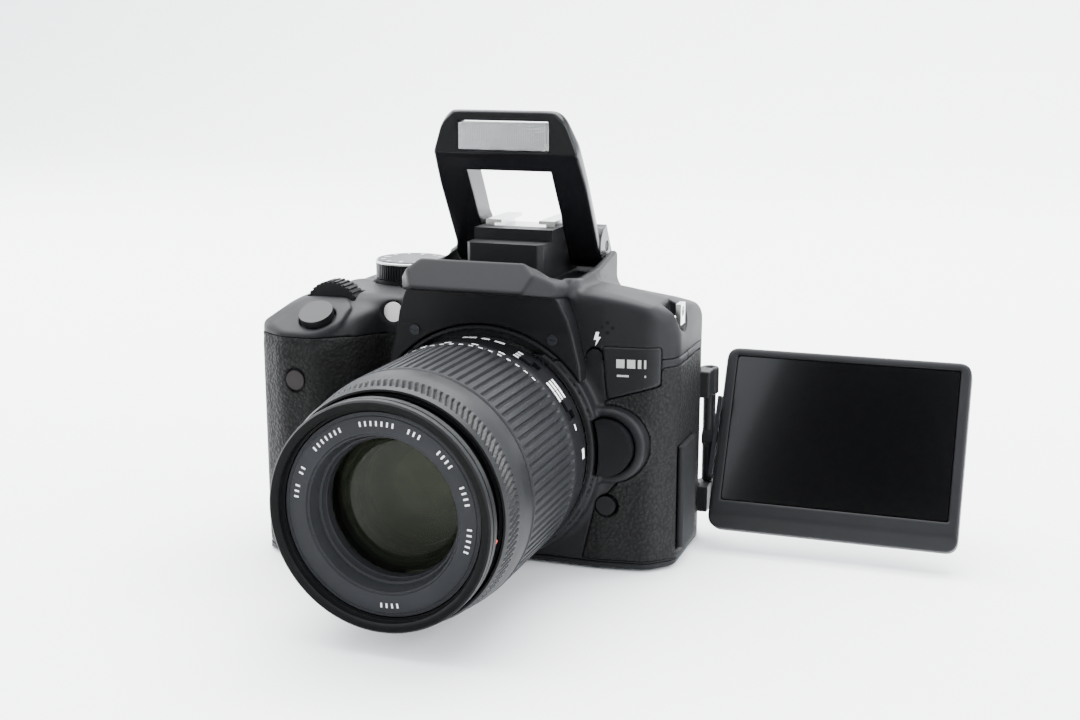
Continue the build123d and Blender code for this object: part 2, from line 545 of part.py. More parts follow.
# ---------------------------------------------------------------- sub-parts out
parts["front_cover"] = front_cover
parts["rear_cover"] = rear_cover
parts["top_cover"] = top_cover
parts["base_cover"] = base_cover
parts["grip_rubber"] = grip_rubber
parts["side_rubber"] = side_rubber
parts["thumb_rubber"] = thumb_rubber
parts["name_plate"] = name_plate
parts["mirror_panel"] = mirror_panel
parts["cover_screws"] = cover_screws
parts["strap_lugs"] = strap_lugs
parts["af_lamp"] = af_lamp
parts["remote_window"] = remote_window
parts["hot_shoe_base"] = hot_shoe_base
parts["hot_shoe_rails"] = hot_shoe_rails
parts["eyecup"] = eyecup
parts["eyepiece_lens"] = eyepiece_lens
parts["tripod_socket"] = tripod_socket
parts["body_mount_ring"] = body_mount_ring
parts["mirror_box"] = mirror_box
parts["shutter_unit"] = shutter_unit
parts["image_sensor"] = image_sensor
parts["pentamirror"] = pentamirror
parts["battery_pack"] = battery_pack
parts["reflex_mirror"] = reflex_mirror
parts["sub_mirror"] = sub_mirror
parts["shutter_button"] = shutter_button
parts["mode_dial"] = mode_dial
parts["power_switch"] = power_switch
parts["main_dial"] = main_dial
parts["iso_button"] = iso_button
parts["flash_button"] = flash_button
parts["dof_button"] = dof_button
parts["lens_release_button"] = release_button
parts["lens_lock_pin"] = lens_lock_pin
parts["menu_button"] = menu_button
parts["live_view_button"] = live_button
parts["cross_keys"] = cross_keys
parts["set_button"] = set_button
parts["dioptre_dial"] = dioptre_dial
parts["battery_door"] = battery_door
parts["card_door"] = card_door
parts["terminal_cover"] = terminal_cover
parts["flash_frame"] = flash_frame
parts["flash_window"] = flash_window
parts["flash_reflector"] = flash_reflector
parts["lcd_arm"] = lcd_arm
parts["lcd_pivot"] = lcd_pivot
parts["lcd_housing"] = lcd_housing
parts["lcd_glass"] = lcd_glass
parts["lens_mount"] = lens_mount
parts["lens_housing"] = lens_housing
parts["zoom_ring"] = zoom_ring
parts["focus_ring"] = focus_ring
parts["front_barrel"] = front_barrel
parts["name_ring"] = name_ring
parts["front_element"] = front_element
parts["rear_element"] = rear_element
parts["focus_mode_switch"] = switches["focus_mode_switch"]
parts["stabiliser_switch"] = switches["stabiliser_switch"]

for name, shape in parts.items():
    export_step(shape, "parts/" + name + ".step")
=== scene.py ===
import bpy
import json
import math
import numpy as np
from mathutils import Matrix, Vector

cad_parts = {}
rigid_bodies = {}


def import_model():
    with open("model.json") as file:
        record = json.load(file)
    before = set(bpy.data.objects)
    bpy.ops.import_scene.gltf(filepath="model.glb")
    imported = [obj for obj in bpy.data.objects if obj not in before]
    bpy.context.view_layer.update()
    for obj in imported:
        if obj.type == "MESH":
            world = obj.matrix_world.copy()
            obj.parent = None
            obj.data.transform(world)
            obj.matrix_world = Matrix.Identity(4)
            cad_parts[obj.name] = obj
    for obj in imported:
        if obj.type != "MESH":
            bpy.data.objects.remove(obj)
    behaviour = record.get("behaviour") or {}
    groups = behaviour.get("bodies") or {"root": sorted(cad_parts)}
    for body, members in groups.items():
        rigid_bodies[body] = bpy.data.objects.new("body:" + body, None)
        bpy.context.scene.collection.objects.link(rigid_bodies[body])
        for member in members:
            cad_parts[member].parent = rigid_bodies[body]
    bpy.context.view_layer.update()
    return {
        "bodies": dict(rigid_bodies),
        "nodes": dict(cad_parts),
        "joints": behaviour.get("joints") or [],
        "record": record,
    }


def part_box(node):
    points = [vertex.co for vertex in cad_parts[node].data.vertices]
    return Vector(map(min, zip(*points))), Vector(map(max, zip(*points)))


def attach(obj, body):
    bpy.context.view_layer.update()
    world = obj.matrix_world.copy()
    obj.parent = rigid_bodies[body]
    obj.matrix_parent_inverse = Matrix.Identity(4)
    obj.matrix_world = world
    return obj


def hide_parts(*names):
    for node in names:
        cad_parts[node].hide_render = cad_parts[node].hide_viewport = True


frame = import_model()

MM = 0.001
STEP = 0.42          # grid step of the moulded body shells
FINE = 0.28          # grid step of the small moulded pieces
ROUND = 256           # steps round a turned piece
FLASH_HINGE = (25, 94)                  # (y, z) of the flash hinge
FLASH_RAISE = 57                        # degrees the flash stands up
SCREEN_AXIS = (29.5, 32.3)              # (y, z) the screen turns about
SCREEN_TIP = 27                         # degrees the screen leans back

def node_box(node):
    """A CAD node's box as it was loaded, in mm."""
    low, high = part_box(node)
    return [v / MM for v in low], [v / MM for v in high]


AXIS_Z = sum(b[2] for b in node_box("zoom_ring")) / 2


# ---------------------------------------------------------------- shaping in mm
class Grid:
    """Sample points in a box; x, y and z broadcast against each other."""

    def __init__(self, low, high, step):
        self.step = step
        self.low = np.array(low, np.float32)
        count = [int(math.ceil((b - a) / step)) + 1 for a, b in zip(low, high)]
        axes = [low[i] + step * np.arange(count[i], dtype=np.float32) for i in range(3)]
        self.x = axes[0][:, None, None]
        self.y = axes[1][None, :, None]
        self.z = axes[2][None, None, :]
        self.shape = tuple(count)


def smin(a, b, k):
    h = np.clip(0.5 + 0.5 * (b - a) / k, 0, 1)
    return b + (a - b) * h - k * h * (1 - h)


def smax(a, b, k):
    return -smin(-a, -b, k)


def rounded(points):
    """A closed outline from corners (a, b, radius), each turned with an arc."""
    out = []
    n = len(points)
    for i in range(n):
        p = np.array(points[i][:2], float)
        before = np.array(points[i - 1][:2], float) - p
        after = np.array(points[(i + 1) % n][:2], float) - p
        radius = points[i][2] if len(points[i]) > 2 else 0.0
        lb, la = np.linalg.norm(before), np.linalg.norm(after)
        ub, ua = before / lb, after / la
        half = math.acos(max(-1, min(1, float(ub @ ua)))) / 2
        cut = radius / math.tan(half) if radius else 0.0
        cut = min(cut, 0.48 * lb, 0.48 * la)
        if cut < 1e-6 or half > 1.56:
            out.append(tuple(p))
            continue
        start, end = p + ub * cut, p + ua * cut
        for s in np.linspace(0, 1, 9):
            q = (1 - s) ** 2 * start + 2 * s * (1 - s) * p + s ** 2 * end
            out.append(tuple(q))
    return out


def mirror_x(points):
    return list(points) + [(-p[0], *p[1:]) for p in reversed(points)]


def poly(a, b, points):
    """Signed distance to a closed outline in the (a, b) plane, negative inside."""
    pts = np.array(rounded(points), np.float32)
    nearest = np.float32(1e9)
    odd = False
    for i in range(len(pts)):
        p, q = pts[i - 1], pts[i]
        da, db = q - p
        length = max(float(da * da + db * db), 1e-9)
        t = np.clip(((a - p[0]) * da + (b - p[1]) * db) / length, 0, 1)
        nearest = np.minimum(nearest, (a - p[0] - t * da) ** 2 + (b - p[1] - t * db) ** 2)
        crosses = ((p[1] <= b) != (q[1] <= b)) & (a < p[0] + (b - p[1]) * (da / db if db else 0.0))
        odd = odd ^ crosses
    return np.where(odd, -1, 1) * np.sqrt(nearest)


def disc(a, b, ca, cb, radius):
    return np.sqrt((a - ca) ** 2 + (b - cb) ** 2) - radius


def slab(a, low, high):
    return np.maximum(low - a, a - high)


def brick(g, x0, x1, y0, y1, z0, z1):
    return np.maximum(np.maximum(slab(g.x, x0, x1), slab(g.y, y0, y1)), slab(g.z, z0, z1))


def plane(a, b, pa, pb, angle):
    """Distance above a line through (pa, pb) rising at angle degrees in the (a, b) plane."""
    r = math.radians(angle)
    return (b - pb) * math.cos(r) - (a - pa) * math.sin(r)


def cut(f, tool, k=0.4):
    return smax(f, -tool, k)


def nets(g, f):
    """Mesh of the zero surface: one point per crossed cell, one quad per crossed edge."""
    f = np.broadcast_to(f, g.shape).astype(np.float32)
    inside = f < 0
    c = inside.astype(np.int8)
    total = sum(
        c[i:i + g.shape[0] - 1, j:j + g.shape[1] - 1, k:k + g.shape[2] - 1]
        for i in (0, 1) for j in (0, 1) for k in (0, 1)
    )
    active = (total > 0) & (total < 8)
    cells = np.argwhere(active)
    number = np.full(active.shape, -1, np.int32)
    number[active] = np.arange(len(cells))
    corner = {}
    for i in (0, 1):
        for j in (0, 1):
            for k in (0, 1):
                corner[i, j, k] = f[cells[:, 0] + i, cells[:, 1] + j, cells[:, 2] + k]
    place = np.zeros((len(cells), 3), np.float32)
    count = np.zeros(len(cells), np.float32)
    for a in corner:
        for axis in range(3):
            if a[axis]:
                continue
            b = tuple(1 if i == axis else v for i, v in enumerate(a))
            va, vb = corner[a], corner[b]
            crossed = (va < 0) != (vb < 0)
            t = np.where(crossed, va / np.where(crossed, va - vb, 1), 0)
            for i in range(3):
                place[:, i] += crossed * (a[i] + (t if i == axis else 0))
            count += crossed
    points = g.low + g.step * (cells + place / count[:, None])
    quads = []
    for axis in range(3):
        u, v = (axis + 1) % 3, (axis + 2) % 3
        near = [slice(None)] * 3
        far = [slice(None)] * 3
        near[axis], far[axis] = slice(0, -1), slice(1, None)
        a, b = inside[tuple(near)], inside[tuple(far)]
        for mask, flip in ((a & ~b, False), (~a & b, True)):
            edge = np.argwhere(mask)
            ok = (edge[:, u] > 0) & (edge[:, v] > 0)
            ok &= (edge[:, u] < g.shape[u] - 1) & (edge[:, v] < g.shape[v] - 1)
            edge = edge[ok]
            ring = []
            for du, dv in ((1, 1), (0, 1), (0, 0), (1, 0)):
                cell = edge.copy()
                cell[:, u] -= du
                cell[:, v] -= dv
                ring.append(number[cell[:, 0], cell[:, 1], cell[:, 2]])
            quad = np.stack(ring, 1)
            quads.append(quad[:, ::-1] if flip else quad)
    return points, np.concatenate(quads)


def new_object(name, points, faces, material, smooth=35):
    mesh = bpy.data.meshes.new(name)
    corners = [tuple(p) for p in np.asarray(points, float) * MM]
    mesh.from_pydata(corners, [], [tuple(int(i) for i in q) for q in faces])
    mesh.update()
    mesh.shade_smooth()
    if smooth:
        mesh.set_sharp_from_angle(angle=math.radians(smooth))
    obj = bpy.data.objects.new(name, mesh)
    bpy.context.scene.collection.objects.link(obj)
    mesh.materials.append(material)
    return obj


def place_piece(obj, body, slot, *nodes):
    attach(obj, body)
    if nodes:
        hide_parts(*nodes)
    return obj


def moulded(name, g, f, material, turn=None):
    points, faces = nets(g, f)
    if turn is not None:
        points = turn(points)
    return new_object(name, points, faces, material, smooth=0)


# ---------------------------------------------------------------- materials
def nodes_of(name):
    material = bpy.data.materials.new(name)
    material.use_nodes = True
    tree = material.node_tree
    tree.nodes.clear()
    out = tree.nodes.new("ShaderNodeOutputMaterial")
    bsdf = tree.nodes.new("ShaderNodeBsdfPrincipled")
    tree.links.new(bsdf.outputs[0], out.inputs[0])
    coords = tree.nodes.new("ShaderNodeTexCoord")
    scale = tree.nodes.new("ShaderNodeVectorMath")
    scale.operation = "SCALE"
    scale.inputs["Scale"].default_value = 1 / MM
    tree.links.new(coords.outputs["Object"], scale.inputs[0])
    return material, tree, bsdf, scale.outputs[0]


def noise(tree, coords, per_mm, detail=3.0, rough=0.5):
    node = tree.nodes.new("ShaderNodeTexNoise")
    node.inputs["Scale"].default_value = per_mm
    node.inputs["Detail"].default_value = detail
    node.inputs["Roughness"].default_value = rough
    tree.links.new(coords, node.inputs["Vector"])
    return node.outputs["Fac"]


def spread(tree, value, low, high, start=0.3, end=0.7):
    node = tree.nodes.new("ShaderNodeMapRange")
    node.inputs["From Min"].default_value = start
    node.inputs["From Max"].default_value = end
    node.inputs["To Min"].default_value = low
    node.inputs["To Max"].default_value = high
    tree.links.new(value, node.inputs["Value"])
    return node.outputs[0]


def tint(tree, value, dark, light):
    node = tree.nodes.new("ShaderNodeMix")
    node.data_type = "RGBA"
    node.inputs[6].default_value = (*dark, 1)
    node.inputs[7].default_value = (*light, 1)
    tree.links.new(value, node.inputs[0])
    return node.outputs[2]


def bump(tree, height, strength, depth, normal=None):
    node = tree.nodes.new("ShaderNodeBump")
    node.inputs["Strength"].default_value = strength
    node.inputs["Distance"].default_value = depth * MM
    tree.links.new(height, node.inputs["Height"])
    if normal is not None:
        tree.links.new(normal, node.inputs["Normal"])
    return node.outputs[0]


def plastic(
    name, grey, rough, grain=2.2, strength=0.35, depth=0.06, spec=0.17, coat=0.0, metal=0.0,
    warm=(0.96, 1, 1.14), vary=0.12, patch=0.05,
):
    """Moulded plastic or metal: faint blotches in colour and gloss, and a fine grain."""
    material, tree, bsdf, at = nodes_of(name)
    blotch = noise(tree, at, patch, 4.0)
    fine = noise(tree, at, grain, 2.0, 0.6)
    colour = np.array([grey * w for w in warm])
    shade = tint(tree, spread(tree, blotch, 0, 1), colour * (1 - vary), colour * (1 + vary))
    tree.links.new(shade, bsdf.inputs["Base Color"])
    tree.links.new(spread(tree, blotch, rough * 0.92, rough * 1.08), bsdf.inputs["Roughness"])
    tree.links.new(bump(tree, fine, strength, depth), bsdf.inputs["Normal"])
    bsdf.inputs["Specular IOR Level"].default_value = spec
    bsdf.inputs["Coat Weight"].default_value = coat
    bsdf.inputs["Coat Roughness"].default_value = 0.12
    bsdf.inputs["Metallic"].default_value = metal
    return material


def pebbled(name, grey, rough, per_mm=0.95, strength=0.7, depth=0.28):
    """Leather-grained rubber: irregular pebbles with narrow furrows between them. The colour carries painted
    shade, darker down in the furrows and lighter on the pebble tops.
    """
    material, tree, bsdf, at = nodes_of(name)
    wobble = tree.nodes.new("ShaderNodeTexNoise")
    wobble.inputs["Scale"].default_value = 0.6
    tree.links.new(at, wobble.inputs["Vector"])
    shift = tree.nodes.new("ShaderNodeVectorMath")
    shift.operation = "MULTIPLY_ADD"
    shift.inputs[1].default_value = (1.2, 1.2, 1.2)
    tree.links.new(wobble.outputs["Color"], shift.inputs[0])
    tree.links.new(at, shift.inputs[2])
    cells = tree.nodes.new("ShaderNodeTexVoronoi")
    cells.feature = "SMOOTH_F1"
    cells.inputs["Scale"].default_value = per_mm
    cells.inputs["Smoothness"].default_value = 0.35
    tree.links.new(shift.outputs[0], cells.inputs["Vector"])
    height = spread(tree, cells.outputs["Distance"], 1, 0, 0.15, 0.75)
    fine = noise(tree, at, 3.0, 2.0)
    first = bump(tree, height, strength, depth)
    tree.links.new(bump(tree, fine, 0.25, 0.05, first), bsdf.inputs["Normal"])
    # Painted shade: the colour darkens down in the furrows and lightens on the pebble tops.
    tree.links.new(
        tint(tree, height, (grey * 0.7, grey * 0.7, grey * 0.72), (grey * 1.15, grey * 1.15, grey * 1.18)),
        bsdf.inputs["Base Color"],
    )
    tree.links.new(spread(tree, height, rough * 1.15, rough * 0.9, 0, 1), bsdf.inputs["Roughness"])
    bsdf.inputs["Specular IOR Level"].default_value = 0.18
    return material


def ribbing(tree, at):
    """Fine upright and level prisms, as on a flash window."""
    heights = []
    for direction, per_mm in (("X", 0.55), ("Z", 0.75)):
        wave = tree.nodes.new("ShaderNodeTexWave")
        wave.bands_direction = direction
        wave.wave_profile = "TRI"
        wave.inputs["Scale"].default_value = per_mm
        tree.links.new(at, wave.inputs["Vector"])
        heights.append(wave.outputs["Fac"])
    both = tree.nodes.new("ShaderNodeMath")
    both.operation = "ADD"
    tree.links.new(heights[0], both.inputs[0])
    tree.links.new(heights[1], both.inputs[1])
    return both.outputs[0]


def glassy(name, colour, rough=0.03, transmit=1.0, ior=1.5, coat=0.0, ribs=False):
    material, tree, bsdf, at = nodes_of(name)
    smear = noise(tree, at, 0.08, 4.0)
    bsdf.inputs["Base Color"].default_value = (*colour, 1)
    tree.links.new(spread(tree, smear, rough * 0.6, rough * 1.6), bsdf.inputs["Roughness"])
    if ribs:
        tree.links.new(bump(tree, ribbing(tree, at), 0.8, 0.35), bsdf.inputs["Normal"])
    bsdf.inputs["Transmission Weight"].default_value = transmit
    bsdf.inputs["IOR"].default_value = ior
    bsdf.inputs["Coat Weight"].default_value = coat
    bsdf.inputs["Coat Roughness"].default_value = 0.02
    return material


BODY = plastic("body_plastic", 0.0065, 0.52)
PANEL = plastic("panel_plastic", 0.005, 0.5, spec=0.16)
GRIP = pebbled("grip_rubber_grain", 0.0045, 0.62)
SOFT = plastic("soft_rubber", 0.006, 0.7, spec=0.18)
BADGE = plastic("badge_plastic", 0.006, 0.42, strength=0.15)
SATIN = plastic("satin_plastic", 0.006, 0.36, strength=0.15, depth=0.03)
FLASH_OUT = plastic("flash_plastic", 0.004, 0.24, strength=0.12, depth=0.02, coat=0.06)
LENS = plastic("lens_plastic", 0.006, 0.42, strength=0.2, depth=0.04)
BARREL = plastic("barrel_plastic", 0.0035, 0.45, strength=0.2, depth=0.04)
RIBBED = plastic("ring_rubber", 0.010, 0.5, strength=0.25, depth=0.05)
BEZEL = plastic("bezel_plastic", 0.018, 0.38, strength=0.12, depth=0.03, warm=(0.97, 1, 1.12))
INNER = plastic("inner_plastic", 0.003, 0.6, strength=0.1)
STEEL = plastic("bright_steel", 0.62, 0.28, grain=4.0, strength=0.12, depth=0.03, metal=1.0, warm=(1, 1, 1))
# Silver for the badge lettering, which is real print, and for the mode dial's rim, where it is a painted
# highlight.
SILVER_PRINT_AND_HIGHLIGHT = plastic("silver_print_and_painted_highlight", 0.55, 0.35, strength=0.1, metal=0.7, warm=(1, 1, 1))
DARK_STEEL = plastic("dark_steel", 0.03, 0.35, metal=0.6)
WHITE = plastic("white_print", 0.8, 0.5, strength=0.05, warm=(1, 1, 1))
RED = plastic("red_print", 0.45, 0.5, strength=0.05, warm=(1, 0.12, 0.1))
LAMP = plastic("lamp_window", 0.5, 0.25, strength=0.3, coat=0.5, warm=(1, 0.97, 0.93))
MIRROR = plastic("mirror_coat", 0.85, 0.03, strength=0.0, metal=1.0, warm=(1, 1, 1))
CHROME = plastic("reflector_metal", 0.9, 0.12, grain=1.0, strength=0.3, metal=1.0, warm=(1, 1, 1))
DARK_WINDOW = plastic("dark_window", 0.012, 0.42, strength=0.05, spec=0.35, warm=(1.2, 0.9, 0.95))
SENSOR = plastic("sensor_filter", 0.03, 0.08, strength=0.02, coat=0.6, warm=(0.7, 1.1, 1.0))
SCREEN = plastic("screen_gloss", 0.0012, 0.06, grain=0.3, strength=0.01, depth=0.01, coat=0.6)
OPTIC = glassy("optical_glass", (0.93, 0.96, 0.95))
FRESNEL = glassy("flash_lens_clear", (0.97, 0.98, 1.0), 0.06, 0.9, ribs=True)
COATED = glassy("coated_glass", (0.36, 0.42, 0.27), 0.012, 1.0, 1.5)
COATED_PINK = glassy("coated_glass_pink", (0.5, 0.42, 0.36), 0.012, 1.0, 1.6)
COATED_CYAN = glassy("coated_glass_cyan", (0.3, 0.5, 0.5), 0.012, 1.0, 1.6)
PALE = plastic("pale_print", 0.62, 0.5, strength=0.05, warm=(1, 1, 1.02))
# Near-black for the microphone holes: painted shade standing in for the dark inside of holes that are not
# cut.
HOLE_SHADE_PAINT = plastic("painted_hole_shade", 0.002, 0.8, strength=0.02)


# ---------------------------------------------------------------- the body's shape
BODY_PLAN = [
    (-66, -15.6, 4), (-30, -16.2, 2), (36, -16.4, 14), (50.5, -14.2, 9), (58, -6.5, 6),
    (58, 22, 2.5), (54.2, 34, 3.5), (-60, 34, 5), (-66, 28, 5),
]
BODY_FACE = [
    (-66, -3, 2), (58, -3, 2), (58.3, 73, 6), (56.4, 78.6, 4), (50.5, 82, 7), (42.5, 84.8, 9),
    (29.5, 89.8, 8), (24, 91.5, 2), (-24, 91.5, 2), (-27.5, 82, 3), (-31, 80.6, 2), (-58, 80.6, 6),
    (-66, 73, 5),
]
GRIP_PLAN = [
    (-73.3, -18, 11), (-70.3, -32.0, 11), (-60.5, -38.0, 10), (-47.5, -37.8, 9), (-39.5, -29.5, 10),
    (-34.5, -17, 9), (-30, -9, 3), (-30, 8, 2), (-66, 12, 3), (-72.4, 3, 9),
]
LID_PLAN = [
    (-73.3, -18, 11), (-70.2, -31.8, 11), (-60.5, -37.6, 10), (-49, -37.4, 9), (-42.8, -32, 6),
    (-42.4, -24, 6),
    (-45.5, -19, 3), (-45.5, 6, 2), (-66, 10, 3), (-72.4, 3, 9),
]
SLOPE = 29.4
HUMP_PLAN = mirror_x([
    (17.6, -37.2, 1.6), (24.2, -27, 5), (26.9, -12, 8), (28.2, 6, 6), (27.2, 30, 4), (20, 35, 3)])
HUMP_SIDE = [
    (-13, 60), (-13, 84.3), (-24, 84.9, 1), (-37.1, 87.7, 0.8), (-30.7, 96.0, 0.9), (-28.9, 96.0, 0.5),
    (-24.5, 91.2, 3), (-8, 88.6, 8), (8, 89.6, 8), (27, 92.5, 5), (34.6, 88.6, 3), (35.6, 82, 3), (35.6, 60),
]


def body_field(g):
    """The whole camera body in one piece, before it is divided into its covers."""
    plan = poly(g.x, g.y, BODY_PLAN)
    face = poly(g.x, g.z, BODY_FACE)
    rear_fall = g.z - 86.5 + 0.36 * np.clip(g.x - 22, 0, 10) / 10 * np.clip(g.y - 2, 0, 40)
    body = smax(smax(plan, face, 3.6), rear_fall, 5.0)
    slope = plane(g.y, g.z, -38, 71.4, SLOPE)
    shoulder = plane(g.x, g.z, -73.2, 71.4, 43)
    grip = smax(poly(g.x, g.y, GRIP_PLAN), np.maximum(slope, shoulder) + 1.2, 5.0)
    grip = smax(grip, g.z - 79.2, 4.0)
    lid = smax(poly(g.x, g.y, LID_PLAN), smax(slope, shoulder, 5.0), 1.3)
    lid = smax(smax(lid, g.z - 80.4, 3.0), 69.6 - g.z, 0.6)
    body = smin(body, grip, 5.0)
    body = smin(body, lid, 0.8)
    boss = smax(disc(g.x, g.z, 0, AXIS_Z, 37.0), -22.3 - g.y, 1.4)
    boss = np.maximum(boss, g.y + 6)
    body = smin(body, boss, 3.0)
    release = smax(disc(g.x, g.z, 38.5, 40, 11.7), -19.6 - g.y, 2.2)
    release = np.maximum(release, g.y + 6)
    body = smin(body, release, 1.6)
    hump = smax(poly(g.x, g.y, HUMP_PLAN), poly(g.y, g.z, HUMP_SIDE), 0.8)
    brow = poly(g.x, g.z, mirror_x([(15.9, 96.6, 0.6), (24.6, 89.4, 5), (31, 84.5, 4), (31, 60, 1)]))
    hump = smax(hump, np.where(g.y < -18, brow, brow - (g.y + 18) * 0.8), 0.8)
    body = smin(body, hump, 3.0)
    return smax(body, -g.z, 1.6)


WELL_SIDE = [(32.6, 85.5), (-17, 85.5), (-34.5, 89.2), (-29.2, 96.6), (-29.2, 130), (32.6, 130)]


def openings(g, f):
    """Openings let into the body: flash well, screen recess, mount, button holes and niches."""
    well_plan = mirror_x([(16.3, -40, 1), (16.6, -31, 2), (23.6, -20, 5), (25.5, -3, 6), (25.5, 32.6, 1)])
    well = np.maximum(poly(g.x, g.y, well_plan), poly(g.y, g.z, WELL_SIDE))
    f = cut(f, well, 0.5)
    f = cut(f, brick(g, -23.7, 80, 25, 60, 1.8, 62.8), 0.6)
    f = cut(f, np.maximum(disc(g.x, g.z, 0, AXIS_Z, 35.55), g.y + 19.4), 0.3)
    f = cut(f, np.maximum(disc(g.x, g.z, 0, AXIS_Z, 28.2), g.y + 9.0), 0.3)
    f = cut(f, brick(g, -19.3, 19.3, -30, 16, 19.5, 57), 0.3)
    f = cut(f, brick(g, -16.4, 16.4, -16.5, 22, 54, 82), 0.3)
    f = cut(f, brick(g, -12, 12, 18, 60, 64.5, 80), 0.5)
    f = cut(f, brick(g, -60.9, -44.7, -18.2, -9.8, 62, 95), 0.4)
    f = cut(f, brick(g, -60, 44, -10.5, 22.4, 64, 74), 0.3)
    f = cut(f, np.maximum(disc(g.x, g.y, -38.9, 14, 12.7), 80.4 - g.z), 0.3)
    f = cut(f, np.maximum(disc(g.x, g.y, -38.9, 14, 2.6), 70 - g.z), 0.2)
    f = cut(f, np.maximum(disc(g.x, g.y, -54.5, -3, 2.75), 70 - g.z), 0.3)
    low, high = node_box("dof_button")
    button = disc(g.x, g.z, (low[0] + high[0]) / 2, (low[2] + high[2]) / 2, (high[0] - low[0]) / 2 + 0.2)
    return cut(f, np.maximum(button, slab(g.y, low[1] - 4, high[1] + 1.4)), 0.1)


def grip_region(g):
    """Where the grip's rubber lies: round the grip, up to a line just under the finger plate."""
    top = 70.5 - 0.12 * np.clip(g.x + 42, 0, 20)
    side = np.maximum(g.x + 29.6, g.y - 3.7)
    area = np.maximum(np.maximum(side, g.z - top), 4 - g.z)
    return np.maximum(area, -disc(g.x, g.z, 0, AXIS_Z, 37.5))


def side_region(g):
    """Where the rubber lies on the other side: round the corner, clear of the release boss and the badge."""
    edge = poly(g.x, g.z, [
        (36.8, 53.2, 1), (53, 58, 1), (53, 63.4, 1), (70, 63.4), (70, 3), (30, 3), (34, 20, 2), (41, 28, 2)])
    area = np.maximum(edge, g.y - 20)
    area = np.maximum(area, -disc(g.x, g.z, 38.5, 40, 12.1))
    area = np.maximum(area, -disc(g.x, g.z, 0, AXIS_Z, 37.5))
    return np.maximum(area, -brick(g, 54, 70, -6.6, 10.4, 5.7, 38.3))


def badge_region(g):
    plate = poly(g.x, g.z, [(35.9, 69.8, 0.8), (52.9, 69.8, 1.2), (52.9, 58.4, 0.6), (37.4, 53.6, 0.6)])
    return np.maximum(plate, g.y + 4)


def skin(f, region, lift=0.12, deep=0.95):
    outer = smax(f - lift, region, 0.4)
    return np.maximum(outer, -(f + deep))


def let_in(f, whole, region, deep=1.0):
    """Lower the surface inside a region, for a skin to lie in."""
    return smax(f, -np.maximum(region - 0.06, -(whole + deep)), 0.15)


def body_grid(x0, x1, y0, y1, z0, z1, step=STEP):
    return Grid((x0, y0, z0), (x1, y1, z1), step)


def cover(name, node, box, region, slot="body_plastic", extra=None):
    g = body_grid(*box)
    whole = body_field(g)
    f = openings(g, whole)
    f = let_in(f, whole, grip_region(g))
    f = let_in(f, whole, side_region(g))
    f = let_in(f, whole, badge_region(g), 0.7)
    f = smax(f, region(g), 0.25)
    if extra is not None:
        f = extra(g, f)
    piece = moulded(name, g, f, BODY)
    return place_piece(piece, "camera_body", slot, node)


def top_extra(g, f):
    frame = np.maximum(brick(g, -16, 16, 30, 36.4, 66.2, 84), -brick(g, -12, 12, 20, 50, 64.5, 80))
    f = smin(f, smax(frame, 66.15 - g.z, 0.2), 0.6)
    for side in (-1, 1):
        pin = np.maximum(disc(g.y, g.z, 25, 94, 1.6), np.abs(g.x - side * 19.0) - 5.6)
        f = np.minimum(f, pin)
    for y0, y1 in ((-20.4, -18.2), (-9.8, -7.8)):
        f = np.minimum(f, brick(g, -55.5, -50.1, y0, y1, 68, 77.5))
    f = cut(f, np.maximum(disc(g.y, g.z, -14, 75.5, 1.6), np.abs(g.x + 52.8) - 9.2), 0.05)
    niche = np.maximum(np.sqrt((g.y + 1) ** 2 + (g.z - 78.4) ** 2) - 5.3, 51.0 - g.x)
    f = cut(f, niche, 0.5)
    niche = np.maximum(np.sqrt((g.y + 1) ** 2 + (g.z - 76) ** 2) - 5.3, g.x + 61.5)
    f = cut(f, niche, 0.5)
    button = slope_disc(g, 5.75)
    f = cut(f, button, 0.3)
    f = cut(f, np.maximum(disc(g.x, g.z, 33.6, 66.6, 2.75), g.y + 8), 0.3)
    f = cut(f, np.maximum(disc(g.x, g.z, -32.1, 76.2, 3.35), g.y + 14.9), 0.3)
    f = cut(f, np.maximum(disc(g.y, g.z, 31.2, 82.2, 4.1), np.abs(g.x - 20.1) - 1.5), 0.1)
    for x, z, r in ((47, 70.5, 3.5), (-31.5, 70.5, 3.1)):
        f = cut(f, np.maximum(disc(g.x, g.z, x, z, r), 27.0 - g.y), 0.3)
    return f


SLOPE_ANGLE = math.degrees(math.atan2(80.5 - 65.9, 26))    # the finger plate's fall, as in the CAD


def slope_frame(g):
    """Coordinates square to the forward slope, about the shutter button."""
    a = math.radians(SLOPE_ANGLE)
    dy, dz = g.y + 30, g.z - 76.0
    return g.x + 51.5, dy * math.cos(a) + dz * math.sin(a), -dy * math.sin(a) + dz * math.cos(a)


def slope_disc(g, radius):
    u, v, w = slope_frame(g)
    return np.maximum(np.sqrt(u ** 2 + v ** 2) - radius, -2.6 - w)


def front_extra(g, f):
    f = cut(f, np.maximum(disc(g.x, g.z, 38.2, 40, 9.0), g.y + 13), 0.35)
    f = cut(f, np.maximum(disc(g.x, g.z, 40, 40, 3.5), g.y + 7.5), 0.1)
    f = cut(f, np.maximum(disc(g.x, g.z, 37.5, 20.5, 3.35), g.y + 12), 0.3)
    f = cut(f, np.maximum(disc(g.x, g.z, 30.3, AXIS_Z, 1.5), g.y + 8), 0.1)
    f = cut(f, brick(g, 54.9, 60, -6.7, 10.4, 5.6, 38.4), 0.2)
    trim = np.maximum(np.abs(disc(g.x, g.z, 0, AXIS_Z, 34.45)) - 1.0, np.maximum(-23.4 - g.y, g.y + 19))
    return np.minimum(f, trim)


